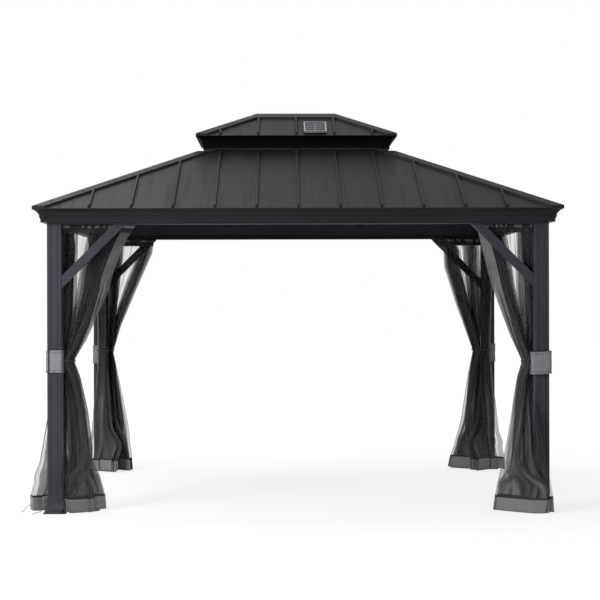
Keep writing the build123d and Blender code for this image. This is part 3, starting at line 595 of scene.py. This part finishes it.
# %% The eight nets
LONG = {
    "width": 2.0,  # of the flat panel
    "folds": 3.5,  # large folds at the hem
    "waist": 1.04,  # height of the tie
    "apron": 0.0,  # how far the low part sweeps outwards
    "fan": 1,  # 1 with the border outermost, -1 with it innermost
    "turn": 0,  # 1 where the border runs on along the rail
    "uneven": 0.36,  # how much the pleats differ in depth
    "calm": [(1.04, 0.0), (1.45, 0.5), (2.0, 0.8)],  # how smooth the flat stretch is
    "ends": [(0.1, 0.0), (1.04, 0.2), (1.45, 0.75), (2.0, 1.0)],  # how far that stretch is pulled wide
    "crowd": (-0.2, -0.2, 0.0),  # cloth crowded to the post below 0, to the edge above
    "lean": (2.2, 1.2, 1.8),
    "start": [
        (0.04, 0.034), (0.10, 0.024), (0.25, 0.004), (0.86, 0.006),
        (0.93, 0.016), (1.13, 0.016), (1.22, 0.006),
    ],
    "middle": [(0.1, 0.008), (1.04, 0.012), (1.5, -0.014), (1.95, -0.014), (2.0, -0.010)],
    "stack": (0.03, 0.036, 0.0),  # how far the edge lies outside the post's end
    "hold": [(0.1, 0.15), (1.04, 0.15), (1.4, 0.3), (1.9, 0.5)],  # share of the border's width that shows
    "reach": (1.0, 1.0, 1.0),
    "veer": (0.0, 0.0, 0.0),
}
SHORT = {
    **LONG,
    "width": 1.8,
    "folds": 4.5,
    "turn": 1,
    "uneven": 0.15,
    "calm": (0.0, 0.0, 0.2),
    "ends": (0.0, 0.0, 0.0),
    "crowd": (-0.7, -0.6, 0.0),
    "lean": (1.15, 0.6, 0.25),
    "start": (0.034, 0.018, 0.012),
    "end": (0.230, 0.080, 0.420),
    "flat": (0.3, 0.3, 0.6, 0.6),  # two shares of the cloth, each with its place when pulled wide
    "hold": [(0.1, 1.0), (0.6, 0.9), (1.04, 0.25), (1.3, 0.6), (1.6, 1.0)],
}
# A height, the share of the hem's middle line there, and a dip inwards
SHORT_FALL = [(0.1, 1.0, 0.0), (0.2, 0.9, 0.029), (0.3, 0.81, 0.018), (0.4, 0.72, 0.0), (0.5, 0.62, 0.0)]


def long_shape(x_side, y_side, seed, end, flat, **more):
    """A net on the front or back: its rail runs along X from the post's inner face."""
    origin = (x_side * POST_FACE_X, y_side * RAIL_Y)
    place = {"origin": origin, "rail_way": (-x_side, 0.0), "out_way": (0.0, y_side)}
    return {**place, **LONG, "seed": seed, "end": end, "flat": flat, **more}


def short_shape(x_side, y_side, seed, hem_middle, hem_stack, inward, veer, **more):
    """A net on the left or right: its rail runs along Y from the post's inner face."""
    origin = (x_side * RAIL_X, y_side * POST_FACE_Y)
    place = {"origin": origin, "rail_way": (0.0, -y_side), "out_way": (x_side, 0.0)}
    middle = [(height, share * hem_middle - dip) for height, share, dip in SHORT_FALL]
    middle += [(1.04, -0.010 - 0.3 * inward), (1.3, -inward), (1.85, -inward), (2.0, -0.018)]
    low = {"stack": (hem_stack, 0.02, 0.0), "veer": (veer, 0.0, 0.0)}
    return {**place, **SHORT, "seed": seed, "middle": middle, **low, **more}


FRONT_LEFT_END = [
    (0.0, 0.302), (0.10, 0.296), (0.26, 0.262), (0.70, 0.188), (0.94, 0.126), (1.055, 0.078),
    (1.193, 0.160), (1.326, 0.223), (1.542, 0.314), (1.681, 0.352), (1.786, 0.391), (1.911, 0.446),
    (2.0, 0.505),
]
FRONT_RIGHT_END = [
    (0.0, 0.284), (0.11, 0.270), (0.43, 0.207), (0.77, 0.151), (0.935, 0.116), (1.04, 0.079),
    (1.23, 0.165), (1.58, 0.291), (1.95, 0.381), (2.0, 0.408),
]
BACK_LEFT_END = [
    (0.0, 0.240), (0.17, 0.228), (0.38, 0.202), (0.60, 0.159), (0.76, 0.124), (1.03, 0.068),
    (1.25, 0.136), (1.58, 0.278), (1.88, 0.411), (2.0, 0.428),
]
BACK_RIGHT_END = [
    (0.0, 0.303), (0.09, 0.285), (0.21, 0.242), (0.42, 0.190), (0.82, 0.129), (1.03, 0.084),
    (1.44, 0.235), (1.76, 0.334), (1.9, 0.340), (2.0, 0.400),
]
SOFT_LEAN = [(0.1, 1.8), (0.5, 0.85), (1.055, 1.2), (2.0, 1.8)]
APRON_LEAN = [(0.1, 4.0), (0.25, 2.4), (0.5, 1.5), (1.04, 1.2), (2.0, 1.8)]
FRONT_RIGHT_START = [
    (0.0, -0.113), (0.12, -0.106), (0.70, 0.000), (0.90, 0.010), (0.95, 0.033), (1.12, 0.033),
    (1.22, 0.008), (2.0, 0.006),
]
FRONT_LEFT_HOLD = [(0.1, 0.15), (1.055, 0.15), (1.3, 0.35), (1.6, 1.0)]
FRONT_RIGHT_HOLD = [(0.1, 0.15), (1.04, 0.25), (1.3, 0.6), (1.6, 1.0)]
NETS = {
    "long_net_front_left": long_shape(
        -1, -1, 0.6, FRONT_LEFT_END, (0.10, 0.10, 0.17, 0.42),
        waist=1.055, reach=(0.1, 1.0, 1.0), lean=SOFT_LEAN, hold=FRONT_LEFT_HOLD,
    ),
    "long_net_front_right": long_shape(
        1, -1, 1.9, FRONT_RIGHT_END, (0.15, 0.12, 0.36, 0.58),
        start=FRONT_RIGHT_START, folds=2.5, uneven=0.0, crowd=(0.45, 0.3, 0.0), lean=APRON_LEAN,
        apron=0.138, hold=FRONT_RIGHT_HOLD,
    ),
    "long_net_back_left": long_shape(
        -1, 1, 2.7, BACK_LEFT_END, (0.45, 0.30, 0.60, 0.85), folds=4.5, lean=SOFT_LEAN
    ),
    "long_net_back_right": long_shape(
        1, 1, 4.2, BACK_RIGHT_END, (0.30, 0.34, 0.60, 0.80),
        folds=4.5, fan=-1, stack=(-0.03, -0.036, 0.0), crowd=(-0.7, -0.4, 0.0), lean=SOFT_LEAN,
    ),
    "short_net_front_left": short_shape(-1, -1, 2.1, 0.043, 0.15, 0.042, 0.4, start=(0.028, 0.018, 0.012)),
    "short_net_front_right": short_shape(1, -1, 5.0, 0.0, 0.02, 0.024, 0.0),
    "short_net_back_left": short_shape(-1, 1, 0.2, -0.034, 0.09, 0.02, 0.6),
    "short_net_back_right": short_shape(1, 1, 5.8, -0.034, 0.12, 0.02, 0.65),
}
print("nets", len(NETS))

# %% [markdown]
# ## Net cloth
# The mesh is so fine that from a few metres it reads as a grey veil: one layer lets most light through
# and several layers turn nearly black. A real mesh of threads would need millions of faces, so the veil is
# an opacity, with the threads as a fine ripple in it and the gathers as denser lines. It is thinnest where
# the cloth is pulled wide, and below the waist broad pale streaks follow the bunches: a painted sheen on
# the black threads. The border is a grey cloth that lets a little light through. The hem is plain grey
# cloth with a black piping along its top, and the header is black with a grey tape, with painted light
# where a pleat faces out and painted shade between the pleats.

# %% Net cloth
net_veil, tree, shader = start_material("net_veil", 0.2)
cloth = cloth_place(tree)
threads = place_group(tree, cloth_threads, {"Cloth": cloth, "Threads": 420.0})
gathers = place_group(tree, cloth_gathers, {"Cloth": cloth})["Gathers"]
low = ramp(tree, split(tree, cloth)["Y"], 0.5, 1.0, 1.0, 0.0)
tone = blend(tree, threads["Slubs"], grey(0.025, 0.15), grey(0.042, 0.15))
# Below the waist the base colour turns to pale streaks along the bunches: painted sheen on black threads.
wide = scaled(tree, cloth, (0.17, 1.0, 1.0))
sheen_streaks = place_group(tree, cloth_gathers, {"Cloth": wide})["Gathers"]
tone = blend(tree, low, tone, blend(tree, sheen_streaks, grey(0.05, 0.1), grey(0.36, 0.03)))
tone = blend(tree, gathers, tone, grey(0.09, 0.1))
veil = arithmetic(tree, "MULTIPLY_ADD", threads["Threads"], 0.13, 0.125)
dense = add(tree, "ShaderNodeAttribute", attribute_name="tint").outputs["Fac"]
veil = arithmetic(tree, "MULTIPLY_ADD", dense, 0.14, veil)
veil = arithmetic(tree, "MULTIPLY_ADD", threads["Slubs"], 0.05, veil)
veil = arithmetic(tree, "MULTIPLY_ADD", gathers, 0.55, veil)
fill(tree, shader, {"Base Color": tone, "Alpha": veil, "Roughness": 0.7})

border_cloth, tree, shader = start_material("border_cloth")
cloth = cloth_place(tree)
threads = place_group(tree, cloth_threads, {"Cloth": cloth, "Threads": 700.0})
gathers = place_group(tree, cloth_gathers, {"Cloth": cloth})["Gathers"]
tone = blend(tree, threads["Slubs"], grey(0.16), grey(0.21))
tone = blend(tree, gathers, tone, grey(0.05), 0.5)
veil = ramp(tree, threads["Threads"], 0.0, 1.0, 0.52, 0.70)
fill(tree, shader, {"Base Color": tone, "Alpha": veil, "Roughness": 0.8})

plain_cloth, tree, shader = start_material("plain_cloth")
cloth = cloth_place(tree)
tint = add(tree, "ShaderNodeAttribute", attribute_name="tint").outputs["Color"]
threads = place_group(tree, cloth_threads, {"Cloth": cloth, "Threads": 900.0})
wear_and_pleat_shade = arithmetic(tree, "MULTIPLY_ADD", threads["Slubs"], 0.08, 0.01)
tone = blend(tree, wear_and_pleat_shade, tint, grey(0.10))
normal = bumps(tree, threads["Threads"], 0.35, 0.0005)
fill(tree, shader, {"Base Color": tone, "Normal": normal, "Roughness": 0.85, "Sheen Weight": 0.15})
print("cloths", 3)

# %% Veils and their trims
HEM_TINT, HEADER_TINT, TAPE_TINT = (0.2, 0.2, 0.21), (0.008, 0.008, 0.009), (0.17, 0.17, 0.18)
WEBBING_TINT = (0.006, 0.006, 0.006)
NET_TINTS = [HEM_TINT, WEBBING_TINT, HEADER_TINT, TAPE_TINT]  # the webbing is also the piping
PIPING_HEIGHT, TAPE_HEIGHT = 0.014, 0.022


def net_patch(shape, along, height):
    """Points, faces and cloth coordinates of a patch of a net, wound so that it faces outwards."""
    points = net_points(shape, along, height)
    faces = grid_faces(len(height), len(along))
    (rail_x, rail_y), (out_x, out_y) = shape["rail_way"], shape["out_way"]
    inward = rail_x * out_y > 0 or rail_y * out_x < 0
    cloth = np.stack(np.meshgrid(along * shape["width"], height), axis=-1)
    return points, faces[:, ::-1] if inward else faces, cloth


def join_patches(patches):
    """Several patches as one: points end to end, and each patch's faces counted on from the last."""
    counts = np.cumsum([0] + [patch[0].size // 3 for patch in patches])
    points = np.concatenate([patch[0].reshape(-1, 3) for patch in patches])
    faces = np.concatenate([patch[1] + count for patch, count in zip(patches, counts)])
    cloth = np.concatenate([patch[2].reshape(-1, 2) for patch in patches])
    return points, faces, cloth


def hang_net(node, shape):
    """One net: a veil with its border, and a trim of hem, piping, header and tape on the same surface."""
    edge = 1 - BORDER / shape["width"]
    hem_top, header_low = NET_LOW + HEM_HEIGHT, NET_HIGH - HEADER_HEIGHT
    body = np.linspace(0, edge, 16 * HOOKS)
    whole = np.concatenate([body, np.linspace(edge, 1, 13)[1:]])
    rows = np.linspace(hem_top, header_low, 84)
    points, faces, cloth = net_patch(shape, whole, rows)
    dense = 1 - pulled_wide(shape, whole) * smooth_step(profile(shape, "calm", rows) / 0.25)
    density = np.repeat(dense[..., None], 3, axis=-1)
    veil = make_piece(f"{node}_veil", points, faces, net_veil, cloth, density)
    veil.data.materials.append(border_cloth)
    in_border = faces.min(axis=1) % len(whole) >= len(body) - 1
    veil.data.polygons.foreach_set("material_index", in_border.astype(np.int32))
    piping_low, tape_low = hem_top - PIPING_HEIGHT, NET_HIGH - TAPE_HEIGHT
    strips = [(NET_LOW, piping_low, 7), (piping_low, hem_top, 3)]
    strips += [(header_low, tape_low, 4), (tape_low, NET_HIGH, 3)]
    patches = [net_patch(shape, whole, np.linspace(*strip)) for strip in strips]
    tints = [np.tile(colour, (patch[0].size // 3, 1)) for colour, patch in zip(NET_TINTS, patches)]
    # The tape stays light where a pleat faces out and turns near black between the pleats: painted light and
    # shade.
    wear_and_pleat_shade = smooth_step(0.5 + 1.5 * np.sin(2 * np.pi * 0.5 * PLEATS * whole + shape["seed"]))
    tints[3] *= 0.06 + 0.94 * np.tile(wear_and_pleat_shade, 3)[:, None]
    points, faces, cloth = join_patches(patches)
    trim = make_piece(f"{node}_trim", points, faces, plain_cloth, cloth, np.concatenate(tints))
    thicken(trim, 0.0014, 0.0)
    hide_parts(node)
    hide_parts(node)
    return len(faces)


for node, shape in NETS.items():
    print(node, hang_net(node, shape), "trim faces")

# %% [markdown]
# ## Hooks
# Every pleat hangs from a small plastic hook that runs in the rail. A hook is a round wire carried along a
# short path: straight down from the rail, then a good half turn through the header.

# %% Net hooks
def unit(vectors):
    """Vectors brought to a length of 1."""
    return vectors / np.linalg.norm(vectors, axis=-1, keepdims=True)


def wire(path, side, radius):
    """Tubes along flat paths: a circle set across each path, from its own normal and the path's side."""
    ahead = unit(np.gradient(path, axis=1))
    side = np.broadcast_to(side[:, None, :], path.shape)
    normal = np.cross(ahead, side)
    turn = np.linspace(0, 2 * np.pi, 6, endpoint=False)
    ring = np.cos(turn)[:, None] * normal[:, :, None, :] + np.sin(turn)[:, None] * side[:, :, None, :]
    return path[:, :, None, :] + radius * ring


def copies(points):
    """Faces for many equal grids that close round, one after another."""
    count, rows, columns = points.shape[:3]
    one = grid_faces(rows, columns, True)
    return (one[None] + (np.arange(count) * rows * columns)[:, None, None]).reshape(-1, 4)


UP = np.array([0.0, 0.0, 1.0])
HOOK_STEPS = 40  # points along the cloth for each hook
# Radius of the wire, half width and depth of the bend, and how far outside the cloth it lies
HOOK_WIRE, HOOK_HALF, HOOK_DEEP, HOOK_OUT = 0.0022, 0.006, 0.008, 0.004
ALONG = np.linspace(0, 1, HOOK_STEPS * HOOKS)
hook_plastic = powder_coat("hook_plastic", 0.3, 0.0, 0.5)
turn = np.linspace(0, 1.4 * np.pi, 9)
hook_run = np.concatenate([[0.0, 0.0], HOOK_HALF - HOOK_HALF * np.cos(turn)])
hook_drop = np.concatenate([[0.001, -0.006], -0.011 - HOOK_DEEP * np.sin(turn)])
hook_paths, hook_sides = [], []
for shape in NETS.values():
    top = net_points(shape, ALONG, np.array([NET_HIGH]))[0, HOOK_STEPS // 2 :: HOOK_STEPS]
    way = np.array([*shape["rail_way"], 0.0])
    out = np.array([*shape["out_way"], 0.0])
    top = top + HOOK_OUT * out
    hook_paths.append(top[:, None, :] + hook_run[:, None] * way + hook_drop[:, None] * UP)
    hook_sides.append(np.tile(out, (HOOKS, 1)))
hook_points = wire(np.concatenate(hook_paths), np.concatenate(hook_sides), HOOK_WIRE)
make_piece("net_hooks", hook_points, copies(hook_points), hook_plastic)
print("hooks", len(hook_points))

# %% [markdown]
# ## Tie bands and tie loops
# A cloth band is wrapped round each post, and a black webbing loop gathers each net's waist. Both are a
# height carried round a closed path: a rounded square for the band, and for the loop the line of a string
# drawn tight round the bundle. The band's cloth is not perfectly flat, so slow waves push it out a little
# between its corners, and one end laps over the other.

# %% Tie bands
def rounded_square(turn, power=8.0):
    """A closed path like a square with round corners: |x| to a power plus |y| to that power is constant."""
    cosine, sine = np.cos(turn), np.sin(turn)
    reach = (np.abs(cosine) ** power + np.abs(sine) ** power) ** (-1 / power)
    return reach * cosine, reach * sine


BAND_TINT = (0.2, 0.205, 0.22)
BAND_HALF, BAND_LENGTH = 0.0775, 0.46  # half its height, and its cloth's length
BAND_LAP = 0.42  # how far its end laps over, as an angle
# Middle, height, half sizes, seed of its waves, and where its end lies as a share of a half turn
BAND_SIZES = {
    "front_left": (-1.690, -1.385, 1.048, 0.0548, 0.0548, 0.3, -0.80),
    "front_right": (1.685, -1.397, 1.034, 0.0670, 0.0680, 1.7, 0.2),
    "back_left": (-1.690, 1.385, 1.006, 0.0550, 0.0550, 2.9, 0.2),
    "back_right": (1.690, 1.385, 1.010, 0.0552, 0.0552, 4.4, 0.2),
}


def tie_band(corner, x, y, height, half_x, half_y, seed, end_turn):
    """A band round a post: the closed path at each height, pushed out by slow waves, its end lapped over."""
    turn = np.linspace(0, 2 * np.pi + BAND_LAP, 150)
    rows = np.linspace(-1, 1, 22)
    lap = 0.0026 * smooth_step((turn - 2 * np.pi + 0.25) / 0.25)
    swell = 0.0012 * np.sin(3 * turn + 2.2 * rows[:, None] + seed)
    swell += 0.0012 * np.sin(7 * turn - 3.1 * rows[:, None])
    hem = 0.0010 * smooth_step((np.abs(rows) - 0.80) / 0.05)[:, None]
    path_x, path_y = rounded_square(turn + end_turn * np.pi)
    grow = lap + np.abs(swell) + hem
    tilt = 0.004 * np.sin(turn + seed)
    level = height + BAND_HALF * rows[:, None] + np.broadcast_to(tilt, grow.shape)
    points = np.stack([x + path_x * (half_x + grow), y + path_y * (half_y + grow), level], axis=-1)
    cloth = np.stack(np.meshgrid(turn / turn[-1] * BAND_LENGTH, rows * BAND_HALF), axis=-1)
    stitched = (np.abs(rows) > 0.79) & (np.abs(rows) < 0.84)
    shade = np.where(stitched, 0.62, 1.0)[:, None] * np.ones_like(grow)
    shade = shade * np.where(turn > turn[-1] - 0.12, 0.06, 1.0)
    tint = shade[..., None] * np.array(BAND_TINT)
    faces = grid_faces(len(rows), len(turn))
    piece = make_piece(f"tie_band_{corner}", points, faces, plain_cloth, cloth, tint)
    thicken(piece, 0.0016, 1.0)
    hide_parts("tie_bands")
    perimeter = 8 * (half_x + half_y) / 2 * 0.97 * turn[-1] / (2 * np.pi)
    return round(perimeter, 3)


for corner, sizes in BAND_SIZES.items():
    print("band", corner, tie_band(corner, *sizes), "m round")

# %% Tie loops
LOOP_HEIGHT = 0.014
loop_turn = np.linspace(0, 2 * np.pi, 90, endpoint=False)
loop_section = np.array([(-0.5, 0.0), (-0.5, 1.0), (0.5, 1.0), (0.5, 0.0), (-0.5, 0.0)])
loop_points = []


def drawn_round(rail, out, grow):
    """A string drawn tight round points: each way out stops at the nearest line that clears them all."""
    middle = [(values.max() + values.min()) / 2 for values in (rail, out)]
    ways = np.stack([np.cos(loop_turn), np.sin(loop_turn)])
    clear = (np.stack([rail - middle[0], out - middle[1]], axis=-1) @ ways).max(axis=(0, 1))
    square = np.maximum(np.cos(loop_turn[:, None] - loop_turn), 0.02)
    reach = ((clear + grow[..., None]) / square).min(axis=-1)
    return middle[0] + reach * np.cos(loop_turn), middle[1] + reach * np.sin(loop_turn)


for node, shape in NETS.items():
    held = shape["waist"] + LOOP_HEIGHT * np.linspace(-0.6, 0.6, 5)
    grow = 0.002 + 0.002 * loop_section[:, [1]]
    rail, out = drawn_round(*net_rows(shape, ALONG, held), grow)
    level = shape["waist"] + LOOP_HEIGHT * loop_section[:, 0]
    lift = np.broadcast_to(level[:, None], rail.shape)
    loop_points.append(np.concatenate([on_plan(shape, rail, out), lift[..., None]], axis=-1))
loop_points = np.array(loop_points)
loop_tint = np.tile(WEBBING_TINT, (loop_points[..., 0].size, 1))
loop_cloth = np.zeros(loop_points.shape[:-1] + (2,))
loop_cloth[..., 0] = loop_turn * 0.05
loop_cloth[..., 1] = LOOP_HEIGHT * loop_section[:, [0]]
loop_faces = copies(loop_points)
make_piece("net_tie_loops", loop_points, loop_faces, plain_cloth, loop_cloth, loop_tint)
print("loops", len(loop_points))

# %% [markdown]
# ## Screws and bolts
# The hip caps are held down by pan-head screws in pairs, and each knee brace by two domed bolts at either
# end. A head is a profile spun about its own axis, and one array holds all of them: every head is the same
# small dome, turned to its surface and moved to its place.

# %% Screws and bolts
DOME_RADIUS = np.array([1.0, 1.0, 0.93, 0.72, 0.38, 0.0])
DOME_RISE = np.array([-0.4, 0.35, 0.62, 0.86, 0.97, 1.0])
HEAD_RISE, SCREW_RADIUS, BOLT_RADIUS = 0.005, 0.0065, 0.007


def domes(name, places, ways, radius):
    """Domed heads: a profile spun about each way, with its foot just under the surface."""
    ways = unit(ways)
    helper = np.where(np.abs(ways[:, [0]]) > 0.8, [[0.0, 1.0, 0.0]], [[1.0, 0.0, 0.0]])
    first = unit(np.cross(ways, helper))
    second = np.cross(ways, first)
    turn = np.linspace(0, 2 * np.pi, 12, endpoint=False)
    ring = np.cos(turn)[:, None] * first[:, None, :] + np.sin(turn)[:, None] * second[:, None, :]
    spread = radius * DOME_RADIUS[:, None, None] * ring[:, None]
    lift = HEAD_RISE * DOME_RISE[:, None, None] * ways[:, None, None]
    points = places[:, None, None, :] + spread + lift
    make_piece(name, points, copies(points), screw_paint)
    print(name, len(places))


RISE_SHARE = 0.44  # of the slopes
CAP_RISE = 0.017  # of the cap above the slope
WING = 0.020  # from the hip to a screw
LOWER_ROOF = (1.830, 1.525, 2.106)  # half sizes and height of the eave
UPPER_ROOF = (0.760, 0.455, 2.7158)
corner_x = np.array([-1.0, 1.0, -1.0, 1.0])
corner_y = np.array([-1.0, -1.0, 1.0, 1.0])


def hip_screws(half_x, half_y, eave, steps):
    """Places and ways of screws on both wings of four hips: steps in plan from the eave's corner."""
    run = np.array(steps)
    long_in = np.add.outer(run, (WING, -WING)).ravel()
    short_in = np.subtract.outer(run, (WING, -WING)).ravel()
    inward = np.minimum(long_in, short_in)
    faces_long = short_in < long_in
    x = corner_x[:, None] * (half_x - long_in)
    y = corner_y[:, None] * (half_y - short_in)
    z = np.broadcast_to(eave + RISE_SHARE * inward + CAP_RISE, x.shape)
    way_x = np.where(faces_long, 0.0, corner_x[:, None] * RISE_SHARE)
    way_y = np.where(faces_long, corner_y[:, None] * RISE_SHARE, 0.0)
    places = np.stack([x, y, z], axis=-1).reshape(-1, 3)
    ways = np.stack([way_x, way_y, np.ones_like(x)], axis=-1).reshape(-1, 3)
    return places, ways


lower = hip_screws(*LOWER_ROOF, [0.10, 0.30, 0.50, 0.70, 0.90, 1.05])
upper = hip_screws(*UPPER_ROOF, [0.07, 0.20, 0.33])
screw_places, screw_ways = (np.concatenate(pair) for pair in zip(lower, upper))
domes("cap_screws", screw_places, screw_ways, SCREW_RADIUS)

# %% Brace bolts
# How far the bolts lie from the post, and how high
BRACE_IN, BRACE_UP = np.array([(0.020, 1.62), (0.052, 1.652), (0.345, 1.945), (0.378, 1.978)]).T
BRACE_X, BRACE_Y, BRACE_HALF = 1.715, 1.410, 0.020  # middle lines and half thickness of the braces
brace_places, brace_ways = [], []
for side_x, side_y in zip(corner_x, corner_y):
    for face in (-1, 1):
        x = np.full(4, side_x * (BRACE_X + face * BRACE_HALF))
        y = np.full(4, side_y * (BRACE_Y + face * BRACE_HALF))
        brace_places.append(np.column_stack([side_x * (POST_FACE_X - BRACE_IN), y, BRACE_UP]))
        brace_places.append(np.column_stack([x, side_y * (POST_FACE_Y - BRACE_IN), BRACE_UP]))
        brace_ways.append(np.tile((0.0, side_y * face, 0.0), (4, 1)))
        brace_ways.append(np.tile((side_x * face, 0.0, 0.0), (4, 1)))
domes("brace_bolts", np.concatenate(brace_places), np.concatenate(brace_ways), BOLT_RADIUS)

# %% [markdown]
# ## Floor and light
# The gazebo stands on a plain pale floor under soft light. One large lamp at the front left lights the posts
# and the cloth. A second, high up behind the ridge and to the left, gives the roof its slow fall of tone to
# the right and leaves the shade under the upper roof. The world fills the rest. The floor and the world
# look white to the camera and in reflections, but the floor still takes the soft shadow.

# %% Floor, world and lamps
def seen_directly(tree):
    """1 for rays from the camera, from reflections and through glass."""
    path = add(tree, "ShaderNodeLightPath").outputs
    seen = arithmetic(tree, "MAXIMUM", path["Is Camera Ray"], path["Is Glossy Ray"])
    return arithmetic(tree, "MAXIMUM", seen, path["Is Transmission Ray"])


FLOOR_LEVEL, FLOOR_SIDES = -0.0006, (-40.0, 40.0)
LAMP_TARGET = (0.0, 0.0, 1.4)
ground = [(x, y, FLOOR_LEVEL) for y in FLOOR_SIDES for x in FLOOR_SIDES]
floor_mesh = bpy.data.meshes.new("floor")
floor_mesh.from_pydata(ground, [], grid_faces(2, 2).tolist())
floor = put("floor", floor_mesh)
floor_paint, tree, shader = start_material("floor_paint", 0.0)
tone = blend(tree, seen_directly(tree), grey(0.8), grey(0.3))
fill(tree, shader, {"Base Color": tone, "Roughness": 0.9})
reach = add(tree, "ShaderNodeVectorMath", {0: body_place(tree)}, operation="LENGTH").outputs["Value"]
lift = ramp(tree, reach, 2.0, 7.0, 0.76, 0.9)
strength = arithmetic(tree, "MULTIPLY", seen_directly(tree), lift)
glow = add(tree, "ShaderNodeEmission", {"Color": grey(1.0), "Strength": strength})
both = add(tree, "ShaderNodeAddShader", {0: shader.outputs[0], 1: glow.outputs[0]})
fill(tree, tree.nodes["Material Output"], {"Surface": both.outputs[0]})
floor_mesh.materials.append(floor_paint)

world = bpy.data.worlds.new("studio")
bpy.context.scene.world = world
world.use_nodes = True
tree = world.node_tree
strength = arithmetic(tree, "MULTIPLY_ADD", seen_directly(tree), 0.55, 0.45)
fill(tree, tree.nodes["Background"], {"Color": grey(1.0), "Strength": strength})


def soft_lamp(name, place, size, power):
    """A square area lamp at a place, turned to the gazebo's middle."""
    lamp = bpy.data.lights.new(name, "AREA")
    lamp.size = size
    lamp.energy = power
    holder = put(name, lamp)
    aim = np.array(LAMP_TARGET) - np.array(place)
    flat = math.hypot(aim[0], aim[1])
    holder.rotation_euler = (math.atan2(flat, -aim[2]), 0.0, math.atan2(-aim[0], aim[1]))
    holder.location = place


soft_lamp("key_lamp", (-5.5, -6.0, 3.8), 3.0, 415.0)
soft_lamp("sky_lamp", (-2.6, 1.8, 8.5), 6.0, 310.0)
print("lamps", len(bpy.data.lights))
